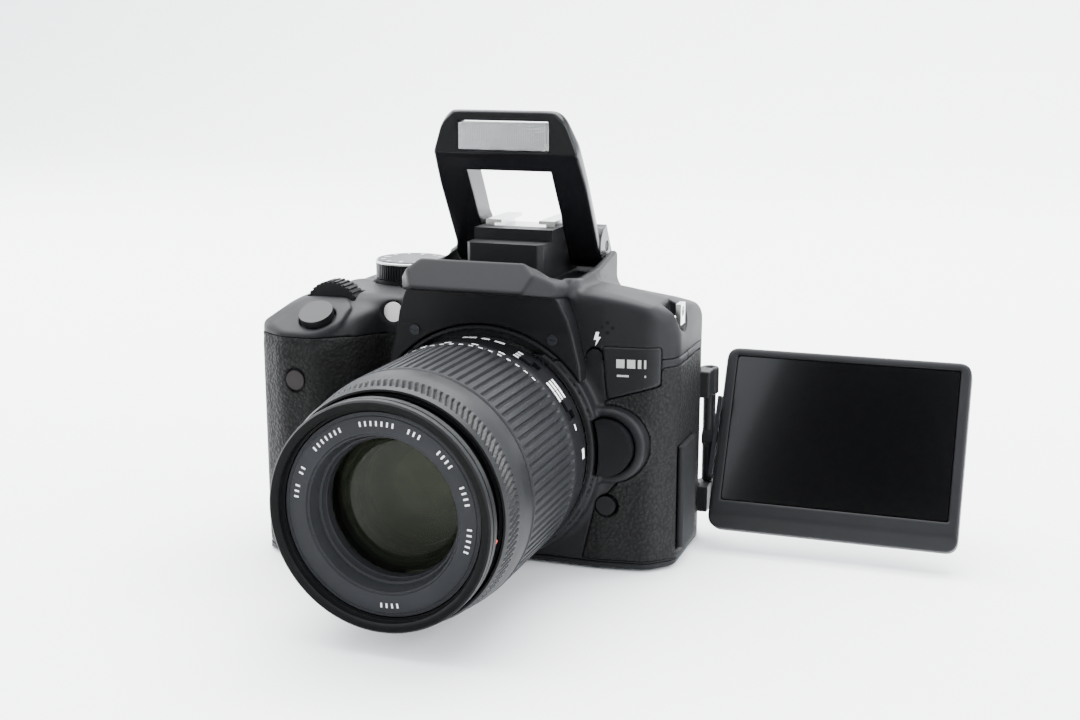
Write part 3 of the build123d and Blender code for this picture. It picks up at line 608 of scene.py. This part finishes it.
def rear_extra(g, f):
    f = cut(f, np.maximum(disc(g.x, g.z, -45.5, 31, 10.8), 26 - g.y), 0.35)
    f = cut(f, brick(g, -70, -62.4, 12.1, 29.7, 15.6, 56.4), 0.2)
    for low, high in ((47.0, 55.6), (9.0, 17.5)):
        rod = np.maximum(disc(g.x, g.y, 58.5, 29.5, 3.0), slab(g.z, low, high))
        f = smin(f, np.maximum(rod, -disc(g.x, g.y, 58.5, 29.5, 1.25)), 0.2)
        lug = brick(g, 55.6, 60.4, 21, 29.5, low, high)
        f = np.minimum(f, np.maximum(lug, -disc(g.x, g.y, 58.5, 29.5, 1.25)))
    return f


cover(
    "top_shell", "top_cover", (-75, 60, -39.5, 38, 64.5, 98),
    lambda g: 66.05 - g.z, extra=top_extra,
)
cover(
    "front_shell", "front_cover", (-75, 60, -39.5, 5.5, 1, 67.5),
    lambda g: np.maximum(np.maximum(g.z - 65.95, 2.25 - g.z), g.y - 3.95), extra=front_extra,
)
cover(
    "rear_shell", "rear_cover", (-75, 62, 2.5, 36, 1, 67.5),
    lambda g: np.maximum(np.maximum(g.z - 65.95, 2.25 - g.z), 4.05 - g.y), extra=rear_extra,
)


def base_extra(g, f):
    f = cut(f, np.maximum(disc(g.x, g.y, 0, 0, 5.25), g.z - 5), 0.1)
    door = poly(g.x, g.y, [
        (-70.5, -31.2), (-63.1, -34.9), (-49.9, -34.9), (-37.0, -27.3), (-37.0, -7.5), (-70.5, -7.5)])
    return cut(f, door, 0.2)


cover(
    "base_shell", "base_cover", (-75, 60, -39.5, 36, -1.5, 3.5),
    lambda g: g.z - 2.15, extra=base_extra,
)


def skin_piece(name, node, box, region, material, slot, lift=0.12, trim=None):
    g = body_grid(*box)
    f = skin(body_field(g), region(g), lift)
    if trim is not None:
        f = trim(g, f)
    return place_piece(moulded(name, g, f, material), "camera_body", slot, node)


def grip_trim(g, f):
    window = np.maximum(np.sqrt(((g.x + 55.5) / 0.8) ** 2 + (g.z - 57.4) ** 2) - 3.9, g.y + 34)
    return cut(f, window, 0.3)


def side_trim(g, f):
    return cut(f, np.maximum(disc(g.x, g.z, 37.5, 20.5, 3.6), g.y + 8), 0.2)


skin_piece(
    "grip_skin", "grip_rubber", (-75, -28, -39.8, 5, 2.5, 72.5), grip_region, GRIP, "grip_skin",
    trim=grip_trim)
skin_piece(
    "side_skin", "side_rubber", (28, 60.5, -19, 21, 2, 65), side_region, GRIP, "grip_skin", 0.35,
    trim=side_trim)
skin_piece(
    "badge", "name_plate", (34, 55, -19, -3, 51, 72), badge_region, BADGE, "badge_plastic", 0.3)


# The panel under the brow, curving down to the lens mount.
def panel_field(g):
    front = poly(g.x, g.z, mirror_x([
        (16.5, 88.3, 2), (24.2, 85.6, 4.5), (27.3, 78, 6), (30.8, 64, 2), (31.2, 56, 1)]))
    lean = -22.3 - g.y - 0.13 * np.clip(g.z - 74, 0, 20) ** 1.25
    f = smax(front, lean, 1.0)
    f = np.maximum(f, g.y + 12.5)
    f = cut(f, poly(g.y, g.z, WELL_SIDE) - 0.4, 0.3)
    return cut(f, np.maximum(disc(g.x, g.z, 0, AXIS_Z, 37.35), g.y + 8), 0.4)


g = body_grid(-33, 33, -37.5, -12, 54, 90, FINE * 1.3)
place_piece(
    moulded("front_panel", g, panel_field(g), PANEL), "camera_body", "panel_plastic", "mirror_panel")


# ---------------------------------------------------------------- flash
def turned_up(points, angle, y0, z0):
    a = math.radians(angle)
    out = np.array(points)
    dy, dz = out[:, 1] - y0, out[:, 2] - z0
    out[:, 1] = y0 + dy * math.cos(a) - dz * math.sin(a)
    out[:, 2] = z0 + dy * math.sin(a) + dz * math.cos(a)
    return out


def raise_flash(points):
    return turned_up(points, -57, 25, 94)


def tip_screen(points):
    return turned_up(points, -SCREEN_TIP, *SCREEN_AXIS)


def raised_coords(g):
    """Upright coordinates at each sample of the folded-down grid."""
    a = math.radians(-FLASH_RAISE)
    y, z = FLASH_HINGE
    dy, dz = g.y - y, g.z - z
    return y + dy * math.cos(a) - dz * math.sin(a), z + dy * math.sin(a) + dz * math.cos(a)


g = Grid((-26, -30, 84), (26, 33.5, 102.5), FINE)
plan = poly(g.x, g.y, mirror_x([
    (6.0, -29.1, 8), (15.6, -28.2, 7), (20.2, -24.6, 8), (23.4, -16.4, 9), (24.6, -3, 9), (24.7, 33)]))
side = poly(g.y, g.z, [
    (25, 87.2), (-14.5, 87.3, 1), (-16.4, 87.0, 1), (-25.5, 91.4, 0.8), (-28.0, 93.0, 1.2),
    (-27.2, 95.0, 1.6),
    (-20, 97.4, 9), (-8, 97.8, 9), (25, 97.6),
])
roof = poly(g.x, g.z, mirror_x([(15.5, 98.0, 10), (24.8, 91.5, 6), (24.8, 80)]))
arch = smax(smax(plan, side, 0.9), roof, 1.6)
ends = np.maximum(np.maximum(disc(g.y, g.z, 25, 94, 7.0), np.abs(g.x) - 24.7), g.z - 97.5)
arch = smin(arch, smax(ends, 10 - g.y, 0.5), 0.6)
up_y, up_z = raised_coords(g)
window = poly(g.x, up_z, mirror_x([(11.2, 98.5), (13.9, 104.5, 2), (12.9, 120.6, 4.5)]))
arch = cut(arch, smax(window, -8 - g.y, 0.3), 0.9)
lower = np.maximum(np.abs(g.x) - 13.8, -9.5 - g.y)
arch = cut(arch, lower, 0.5)
recess = poly(g.x, up_z, mirror_x([(18.6, 136.0, 2), (17.6, 124.2, 2)]))
arch = cut(arch, np.maximum(recess, up_y + 4.9), 0.3)
chamber = np.maximum(np.maximum(np.abs(g.x) - 14.7, slab(up_z, 125.8, 135.0)), slab(up_y, -12, 4.7))
arch = cut(arch, np.maximum(chamber, g.z - 96.8), 0.2)
arch = cut(arch, disc(g.y, g.z, 25, 94, 1.7), 0.05)
place_piece(
    moulded("flash_arch", g, arch, FLASH_OUT, raise_flash), "flash", "flash_plastic", "flash_frame")

# ---------------------------------------------------------------- screen
g = Grid((61, 24.2, 1.2), (141, 34.8, 63.4), STEP)
face = poly(g.x, g.z, [(62.2, 2.55, 4.2), (139.7, 2.55, 4.2), (139.7, 62.05, 4.2), (62.2, 62.05, 4.2)])
shell = smax(face, slab(g.y, 25.6, 33.4), 1.5)
shell = smax(shell, plane(g.z, -g.y, 7.0, -25.6, 23), 0.4)
shell = cut(shell, np.maximum(np.maximum(slab(g.x, 65.8, 136.4), slab(g.z, 11.4, 59.3)), g.y - 26.95), 0.25)
shell = cut(shell, np.maximum(disc(g.y, g.z, 29.5, 32.3, 1.85), g.x - 69), 0.1)
place_piece(
    moulded("screen_shell", g, shell, BODY, tip_screen), "screen", "body_plastic", "lcd_housing")

# ---------------------------------------------------------------- eyecup
g = Grid((-19, 35.8, 62), (19, 41.6, 84.5), FINE)
cup = poly(g.x, g.z, mirror_x([(16.2, 83, 5), (17.6, 73, 5), (16.6, 63.1, 4)]))
cup = smax(cup, slab(g.y, 36.6, 40.6), 2.0)
eye = poly(g.x, g.z, mirror_x([(10.4, 79.6, 2.5), (10.4, 65.4, 2.5)]))
cup = cut(cup, eye - 0.25 * np.clip(g.y - 37, 0, 5), 1.2)
place_piece(moulded("eyecup_soft", g, cup, SOFT), "camera_body", "soft_rubber", "eyecup")


# ---------------------------------------------------------------- lens
def wound(profile):
    """The profile turned the way that makes its faces look outward."""
    p = np.array(profile, float)
    q = np.roll(p, -1, 0)
    area = np.sum(p[:, 0] * q[:, 1] - q[:, 0] * p[:, 1])
    return list(profile) if area > 0 else list(profile)[::-1]


def lathe(name, profile, material, body, slot, *nodes, steps=None, shape=None, smooth=30):
    """A closed (radius, y) profile turned about the lens axis; shape(angle, r, y) may move the radius."""
    steps = steps or ROUND
    profile = wound(profile)
    angle = (np.arange(steps) + 0.5) * 2 * math.pi / steps
    r = np.array([p[0] for p in profile], float)[None, :] + 0 * angle[:, None]
    y = np.array([p[1] for p in profile], float)[None, :] + 0 * angle[:, None]
    if shape is not None:
        r = shape(angle[:, None] + 0 * r, r, y)
    n = len(profile)
    points = np.stack([np.sin(angle)[:, None] * r, y, AXIS_Z + np.cos(angle)[:, None] * r], 2).reshape(-1, 3)
    i = np.repeat(np.arange(steps), n)
    k = np.tile(np.arange(n), steps)
    j, m = (i + 1) % steps, (k + 1) % n
    quads = np.stack([i * n + k, j * n + k, j * n + m, i * n + m], 1)
    obj = new_object(name, points, quads, material, smooth)
    return place_piece(obj, body, slot, *nodes)


def step_line(y0, y1, count):
    return list(np.linspace(y0, y1, count))


ZOOM_RIBS, FOCUS_RIBS = 84, 116


def zoom_ribs(angle, r, y):
    t = (angle * ZOOM_RIBS / (2 * math.pi)) % 1.0
    valley = np.clip((np.abs(t - 0.5) - 0.26) / 0.14, 0, 1)
    ends = np.clip((-39.9 - y) / 0.9, 0, 1) * np.clip((y + 73.9) / 0.9, 0, 1)
    return r - 0.75 * valley * ends * (r > 34)


def focus_ribs(angle, r, y):
    t = ((angle + 0.013 * (y + 84)) * FOCUS_RIBS / (2 * math.pi)) % 1.0
    valley = np.clip((np.abs(t - 0.5) - 0.22) / 0.16, 0, 1)
    ends = np.clip((-83.7 - y) / 0.5, 0, 1) * np.clip((y + 89.4) / 0.5, 0, 1)
    return r - 0.62 * valley * ends * (r > 32.6)


zoom_profile = [(31.7, -38.0), (34.5, -38.0), (34.85, -38.35), (34.9, -39.8)]
zoom_profile += [(34.9, y) for y in (-40.3, -40.9, -46, -52, -58, -64, -70, -72.9, -73.5)]
zoom_profile += [(34.9, -74.0), (34.9, -74.6), (34.5, -75.05), (31.7, -75.05)]
lathe(
    "zoom_grip", zoom_profile, RIBBED, "zoom_ring", "ring_rubber", "zoom_ring",
    steps=ZOOM_RIBS * 10, shape=zoom_ribs)
focus_profile = [(31.9, -75.4), (34.35, -75.4), (34.7, -75.75), (34.65, -78.5), (34.3, -81.5), (33.9, -83.2)]
focus_profile += [(33.85 - 0.1 * (-83.6 - y), y) for y in step_line(-83.6, -89.5, 9)]
focus_profile += [(33.1, -89.9), (32.7, -90.9), (32.15, -91.0), (31.9, -88.0)]
lathe(
    "focus_grip", focus_profile, LENS, "focus_ring", "lens_plastic", "focus_ring",
    steps=FOCUS_RIBS * 8, shape=focus_ribs)
barrel_profile = [
    (28.25, -64), (28.25, -96.25), (28.9, -96.3), (29.0, -96.5), (29.0, -98.6), (29.5, -99.05), (30.2, -99.2),
    (31.1, -99.15), (31.6, -98.7), (31.7, -98.2), (31.7, -97.2), (31.35, -97.0), (31.35, -96.8),
    (31.7, -96.6),
    (31.7, -94.6), (31.3, -94.2), (30.0, -93.6), (29.9, -93.2), (29.9, -64),
]
lathe("barrel", barrel_profile, BARREL, "front_barrel", "lens_plastic", "front_barrel")
inside_profile = [
    (28.2, -64), (28.2, -85.7), (19.3, -85.7), (19.3, -79.8), (17.2, -79.0), (17.2, -76.5), (15.6, -76.3),
    (15.6, -73.5), (14.2, -73.3), (14.2, -70.6), (12.8, -70.4), (12.8, -67), (7.5, -66.8), (7.5, -64),
]
lathe("lens_interior", inside_profile, INNER, "front_barrel", "lens_plastic")
ring_profile = [
    (28.1, -86), (28.1, -95.6), (27.9, -96.1), (27.2, -96.2), (27.1, -96.0), (26.8, -96.0), (26.7, -96.2),
    (22.6, -96.45), (22.1, -96.3), (21.85, -95.7), (21.3, -95.6), (21.2, -94.9), (20.5, -93.2), (20.4, -91.8),
    (19.8, -91.5), (19.5, -89.8), (19.2, -89.4), (19.2, -86),
]
lathe("face_ring", ring_profile, BEZEL, "front_barrel", "bezel_plastic", "name_ring")


def dome(radius, y_edge, rise, thick, count=22):
    """Half profile of a glass: domed front, slightly hollow back."""
    r = np.linspace(radius, 0.02, count)
    front = [(a, y_edge - rise * (1 - (a / radius) ** 2)) for a in r]
    back = [(a, y_edge + thick - 0.4 * rise * (1 - (a / radius) ** 2)) for a in r[::-1]]
    return front + back


lathe(
    "front_glass", dome(19.1, -86.9, 3.4, 2.2), COATED, "front_barrel", "coated_glass", "front_element",
    smooth=60)
lathe(
    "inner_glass", dome(13.9, -74.2, 4.2, 2.0), COATED_PINK, "front_barrel", "coated_glass", smooth=60)
lathe(
    "deep_glass", dome(7.4, -66.9, 2.6, 1.5), COATED_CYAN, "front_barrel", "coated_glass", smooth=60)


# ---------------------------------------------------------------- printed marks
def print_patch(name, corners_list, place, material, body, slot, thick=0.05):
    """Thin raised marks: each outline (u, v) is laid on the surface by place(u, v, lift)."""
    points, faces = [], []
    for corners in corners_list:
        base = len(points)
        n = len(corners)
        for lift in (-0.12, thick):
            points += [place(u, v, lift) for u, v in corners]
        faces.append([base + n + i for i in range(n)])
        faces.append([base + i for i in reversed(range(n))])
        for i in range(n):
            faces.append([base + i, base + (i + 1) % n, base + n + (i + 1) % n, base + n + i])
    obj = new_object(name, points, faces, material, smooth=0)
    obj.data.shade_flat()
    return place_piece(obj, body, slot)


def bar(u0, u1, v0, v1):
    return [(u0, v0), (u1, v0), (u1, v1), (u0, v1)]


def on_face_ring(u, v, lift):
    """u is an angle in degrees from straight up towards +X seen from behind, v a radius."""
    a = math.radians(u)
    y = -96.2 - (26.7 - v) * 0.061
    return (math.sin(a) * v, y - lift, AXIS_Z + math.cos(a) * v)


def arc_bar(u0, u1, v0, v1, count=5):
    us = np.linspace(u0, u1, count)
    return [(u, v0) for u in us] + [(u, v1) for u in us[::-1]]


ring_marks = []
for centre, count in ((-100, 5), (-72, 4), (-47, 4), (-23, 3), (2, 7), (38, 7), (66, 2), (80, 3), (184, 4)):
    for i in range(count):
        at = centre + (i - (count - 1) / 2) * 3.6
        ring_marks.append(arc_bar(at - 0.55, at + 0.55, 24.2, 25.5))
ring_marks = [[(-u, v) for u, v in mark] for mark in ring_marks]
print_patch("face_marks", ring_marks, on_face_ring, PALE, "front_barrel", "bezel_plastic")


def on_lens(radius):
    def place(u, v, lift):
        a = math.radians(u)
        return (math.sin(a) * (radius + lift), v, AXIS_Z + math.cos(a) * (radius + lift))
    return place


def arc_patch(u0, u1, v0, v1):
    return arc_bar(u0, u1, v0, v1, 4)


zoom_dashes = [arc_patch(a, a + 2.1, -41.6, -41.1) for a in range(-30, 44, 5)]
zoom_dashes += [arc_patch(a, a + 3.4, -39.4, -38.7) for a in (-22, -9, 5, 19)]
print_patch("zoom_marks", zoom_dashes, on_lens(34.9), WHITE, "zoom_ring", "ring_rubber")
fixed = [arc_patch(a, a + w, -29.8, -28.6) for a, w in ((-6, 7), (4, 4), (11, 5))]
fixed += [arc_patch(a, a + 3.0, v, v + 1.0) for a in (24.5,) for v in (-35.0, -33.0, -31.0)]
fixed += [arc_patch(a, a + 5.5, v, v + 1.1) for a in (46, 51.8) for v in (-35.8, -33.6, -31.4)]
fixed += [arc_patch(70.5, 73.5, -33.2, -32.4), arc_patch(84, 89, -31.0, -29.2)]
print_patch("lens_marks", fixed, on_lens(34.5), WHITE, "camera_body", "lens_plastic")
print_patch(
    "red_mark", [[(96.5, -93.9), (100.5, -93.9), (98.5, -92.3)]], on_lens(31.3), RED,
    "front_barrel", "lens_plastic")


class Samples:
    """Stands for a grid where single places are asked about."""

    def __init__(self, x, y, z):
        self.x, self.y, self.z = x, y, z


def surface_y(x, z):
    """How far forward the body reaches at (x, z)."""
    y = np.linspace(-40, 0, 1601, dtype=np.float32)
    f = body_field(Samples(np.full_like(y, x), y, np.full_like(y, z)))
    return float(y[np.argmax(f < 0)])


def on_front(u, v, lift):
    return (u, surface_y(u, v) - lift, v)


bolt = [(33.9, 74.2), (34.9, 74.2), (34.5, 72.7), (35.4, 72.7), (33.7, 69.9), (34.1, 71.8), (33.2, 71.8)]
print_patch("flash_icon", [bolt], on_front, WHITE, "camera_body", "body_plastic")
# The microphone holes are not cut into the front: four near-black discs are laid on it, painted shade where
# each hole would be dark inside.
holes = []
for x, z in ((37.4 - 1.5, 75.6), (37.4 + 1.5, 75.6), (37.4, 75.6 + 1.5), (37.4, 75.6 - 1.5)):
    holes.append([(x + 0.55 * math.cos(t), z + 0.55 * math.sin(t)) for t in np.arange(12) * math.pi / 6])
print_patch("mic_holes_painted_shade", holes, on_front, HOLE_SHADE_PAINT, "camera_body", "body_plastic", 0.02)


def on_badge(u, v, lift):
    return (u, surface_y(u, v) - 0.32 - lift, v)


print_patch(
    "badge_marks", [bar(40.2 + i * 3.2, 42.6 + i * 3.2, 63.6, 66.2) for i in range(3)] +
    [bar(40.4, 49.0, 60.9, 61.5)], on_badge, SILVER_PRINT_AND_HIGHLIGHT, "camera_body", "badge_plastic", 0.04)


# Silver ring on the mode dial's top edge, a painted highlight where the black edge catches the light, and the
# marks on the dial
def disc_piece(name, profile, centre, material, body, slot, steps=96):
    """A closed (radius, z) profile turned about an upright axis."""
    profile = wound(profile)
    angle = np.arange(steps) * 2 * math.pi / steps
    n = len(profile)
    r = np.array([p[0] for p in profile])
    z = np.array([p[1] for p in profile])
    points = np.zeros((steps, n, 3))
    points[:, :, 0] = centre[0] + np.cos(angle)[:, None] * r
    points[:, :, 1] = centre[1] + np.sin(angle)[:, None] * r
    points[:, :, 2] = z
    i = np.repeat(np.arange(steps), n)
    k = np.tile(np.arange(n), steps)
    j, m = (i + 1) % steps, (k + 1) % n
    quads = np.stack([i * n + k, j * n + k, j * n + m, i * n + m], 1)
    return place_piece(new_object(name, points.reshape(-1, 3), quads, material, 30), body, slot)


# Painted highlight: a silver ring where the dial's black top edge catches the light.
disc_piece(
    "dial_rim_painted_highlight", [(10.6, 88.2), (11.7, 88.2), (12.0, 88.0), (12.0, 87.5), (11.3, 87.3), (10.6, 87.6)],
    (-38.9, 14), SILVER_PRINT_AND_HIGHLIGHT, "mode_dial", "dial_plastic")
dial_marks = []
for i in range(12):
    a = i * math.pi / 6
    tall = 1.5 if i % 3 else 2.4
    side = np.array([-math.sin(a), math.cos(a)])
    out = np.array([math.cos(a), math.sin(a)])
    mark = ((10.1, -0.35), (10.1, 0.35), (10.1 - tall, 0.35), (10.1 - tall, -0.35))
    ends = [(-38.9, 14) + out * r + side * s for r, s in mark]
    dial_marks.append([tuple(p) for p in ends][::-1])
print_patch(
    "dial_print", dial_marks, lambda u, v, lift: (u, v, 88.5 + lift), PALE, "mode_dial", "dial_plastic")

# ---------------------------------------------------------------- carried-over pieces
FINISH = {
    "thumb_rubber": GRIP, "cover_screws": DARK_STEEL, "strap_lugs": STEEL, "af_lamp": LAMP,
    "remote_window": DARK_WINDOW,
    "hot_shoe_base": BODY, "hot_shoe_rails": STEEL, "eyepiece_lens": OPTIC, "tripod_socket": STEEL,
    "body_mount_ring": STEEL, "mirror_box": INNER, "shutter_unit": INNER, "image_sensor": SENSOR,
    "pentamirror": MIRROR, "battery_pack": INNER, "reflex_mirror": MIRROR, "sub_mirror": MIRROR,
    "shutter_button": SATIN, "mode_dial": SATIN, "power_switch": SATIN, "main_dial": SOFT,
    "iso_button": SATIN,
    "flash_button": SATIN, "dof_button": SATIN, "lens_release_button": SATIN, "lens_lock_pin": STEEL,
    "menu_button": SATIN, "live_view_button": SATIN, "cross_keys": SATIN, "set_button": SATIN,
    "dioptre_dial": SATIN,
    "battery_door": BODY, "card_door": BODY, "terminal_cover": SOFT, "flash_window": FRESNEL,
    "flash_reflector": CHROME, "lcd_arm": BODY, "lcd_pivot": DARK_STEEL, "lcd_glass": SCREEN,
    "lens_mount": LENS, "lens_housing": LENS, "rear_element": COATED, "focus_mode_switch": SATIN,
    "stabiliser_switch": SATIN,
}
ROUNDED = {
    "shutter_button": 0.5, "hot_shoe_base": 0.9, "hot_shoe_rails": 0.15, "iso_button": 0.25,
    "flash_button": 0.5,
    "dof_button": 0.5, "lens_release_button": 0.8, "menu_button": 0.3, "live_view_button": 0.3,
    "cross_keys": 0.3,
    "set_button": 0.3, "strap_lugs": 0.35, "terminal_cover": 0.3, "lcd_arm": 0.3, "card_door": 0.2,
    "battery_door": 0.2,
    "power_switch": 0.25, "thumb_rubber": 0.4, "af_lamp": 0.2, "lens_housing": 0.15,
    "focus_mode_switch": 0.2,
    "stabiliser_switch": 0.2, "cover_screws": 0.08, "mode_dial": 0.08, "main_dial": 0.12,
}
for node, material in FINISH.items():
    obj = frame["nodes"][node]
    for slot_index in range(max(1, len(obj.material_slots))):
        if not obj.material_slots:
            obj.data.materials.append(material)
        obj.material_slots[slot_index].link = "OBJECT"
        obj.material_slots[slot_index].material = material
    if node in ROUNDED:
        bevel = obj.modifiers.new("soft_edges", "BEVEL")
        bevel.width = ROUNDED[node] * MM
        bevel.segments = 3
        bevel.limit_method = "ANGLE"
        bevel.angle_limit = math.radians(35)
        bevel.harden_normals = False

# ---------------------------------------------------------------- stage, light and camera
def stage_sheet(name, points, faces, material):
    mesh = bpy.data.meshes.new(name)
    mesh.from_pydata(points, [], faces)
    mesh.shade_smooth()
    obj = bpy.data.objects.new(name, mesh)
    bpy.context.scene.collection.objects.link(obj)
    mesh.materials.append(material)
    return obj


PAPER = plastic(
    "backdrop_paper", 0.92, 0.85, grain=0.3, strength=0.005, depth=0.005, spec=0.1, warm=(0.985, 0.995, 1.0),
    vary=0.006, patch=0.001,
)
FLOOR_Z = -0.0006
sweep = [(-3.0, FLOOR_Z), (1.2, FLOOR_Z)]
bend = np.linspace(0.05, math.pi / 2, 24)
sweep += [(1.2 + 1.2 * math.sin(t), FLOOR_Z + 1.2 - 1.2 * math.cos(t)) for t in bend]
sweep += [(2.4, 4.0)]
points = [(x, y, z) for y, z in sweep for x in (-5.0, 5.0)]
faces = [(2 * i, 2 * i + 1, 2 * i + 3, 2 * i + 2) for i in range(len(sweep) - 1)]
stage_sheet("backdrop", points, faces, PAPER)

world = bpy.data.worlds.new("studio")
world.use_nodes = True
background = world.node_tree.nodes["Background"]
background.inputs[0].default_value = (0.9, 0.94, 1.0, 1)
background.inputs[1].default_value = 2.6
bpy.context.scene.world = world


def soft_light(name, at, aim, size, power, colour=(1, 1, 1)):
    light = bpy.data.lights.new(name, "AREA")
    light.shape = "RECTANGLE"
    light.size, light.size_y = size
    light.energy = power
    light.color = colour
    obj = bpy.data.objects.new(name, light)
    bpy.context.scene.collection.objects.link(obj)
    obj.location = at
    obj.rotation_euler = (Vector(at) - Vector(aim)).to_track_quat("Z", "Y").to_euler()
    return obj


soft_light("overhead", (-0.15, 0.3, 1.3), (0.02, 0.05, 0), (1.8, 1.3), 80)
soft_light("left_bank", (-1.2, 0.1, 0.55), (0, 0, 0.05), (0.8, 0.8), 18)
soft_light("right_bank", (1.2, -0.1, 0.6), (0, 0, 0.05), (0.8, 0.8), 18)
soft_light("backdrop_wash", (0, 0.9, 1.9), (0, 2.2, 0.3), (3.0, 0.6), 110)

CAMERA_AT = Vector((0.1623, -0.4382, 0.1633))
AZIMUTH, ELEVATION = math.radians(19.1), math.radians(12.5)
camera_data = bpy.data.cameras.new("view")
camera_data.lens = 50.3
camera_data.sensor_width = 36
camera_data.clip_start = 0.01
camera = bpy.data.objects.new("view", camera_data)
bpy.context.scene.collection.objects.link(camera)
back = Vector((
    math.sin(AZIMUTH) * math.cos(ELEVATION), -math.cos(AZIMUTH) * math.cos(ELEVATION), math.sin(ELEVATION)))
camera.location = CAMERA_AT
camera.rotation_euler = back.to_track_quat("Z", "Y").to_euler()
bpy.context.scene.camera = camera

# A black card in front and overhead, which the camera doesn't see, is what the tipped screen mirrors;
# its slanted edge leaves a pale wedge.
CARD_FAR = 1.0


def seen_in_screen(x, height):
    """Where the card's plane is met by the sight line mirrored at a place on the screen glass (mm)."""
    low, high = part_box("lcd_glass")
    tip = math.radians(SCREEN_TIP)
    normal = Vector((0, -math.cos(tip), math.sin(tip)))
    up = Vector((0, math.sin(tip), math.cos(tip)))
    middle = Vector(((low[0] + high[0]) / 2, (low[1] + high[1]) / 2, (low[2] + high[2]) / 2))
    at = middle + Vector(((x * MM) - middle[0], 0, 0)) + up * (height * MM)
    sight = (at - CAMERA_AT).normalized()
    mirrored = sight - 2 * sight.dot(normal) * normal
    main = (middle - CAMERA_AT).normalized()
    main = main - 2 * main.dot(normal) * normal
    far = ((middle + main * CARD_FAR) - at).dot(main) / mirrored.dot(main)
    return at + mirrored * far


top_left, bottom_left = seen_in_screen(80, 24), seen_in_screen(66, -24)
right_top, right_bottom = seen_in_screen(150, 34), seen_in_screen(150, -34)
edge = top_left - bottom_left
card_points = [
    bottom_left - edge * 0.7, right_bottom + (right_bottom - right_top) * 0.4, right_top,
    top_left + edge * 0.5,
]
BLACK_CARD = plastic("black_card", 0.004, 0.9, strength=0.02, spec=0.1)
card = stage_sheet("card", [tuple(p) for p in card_points], [(0, 1, 2, 3)], BLACK_CARD)
card.visible_camera = False
# A grey card low in front darkens only what the glass and the satin faces mirror.
GREY_CARD = plastic("grey_card", 0.16, 0.9, strength=0.02, spec=0.1, warm=(0.97, 1, 0.92))
flag = stage_sheet("flag", [(-1.2, -0.1, 0.001), (0.9, -0.1, 0.001), (0.9, -0.85, 0.62), (-1.2, -0.85, 0.62)],
                   [(0, 1, 2, 3)], GREY_CARD)
for seen in ("camera", "diffuse", "shadow"):
    setattr(flag, "visible_" + seen, False)
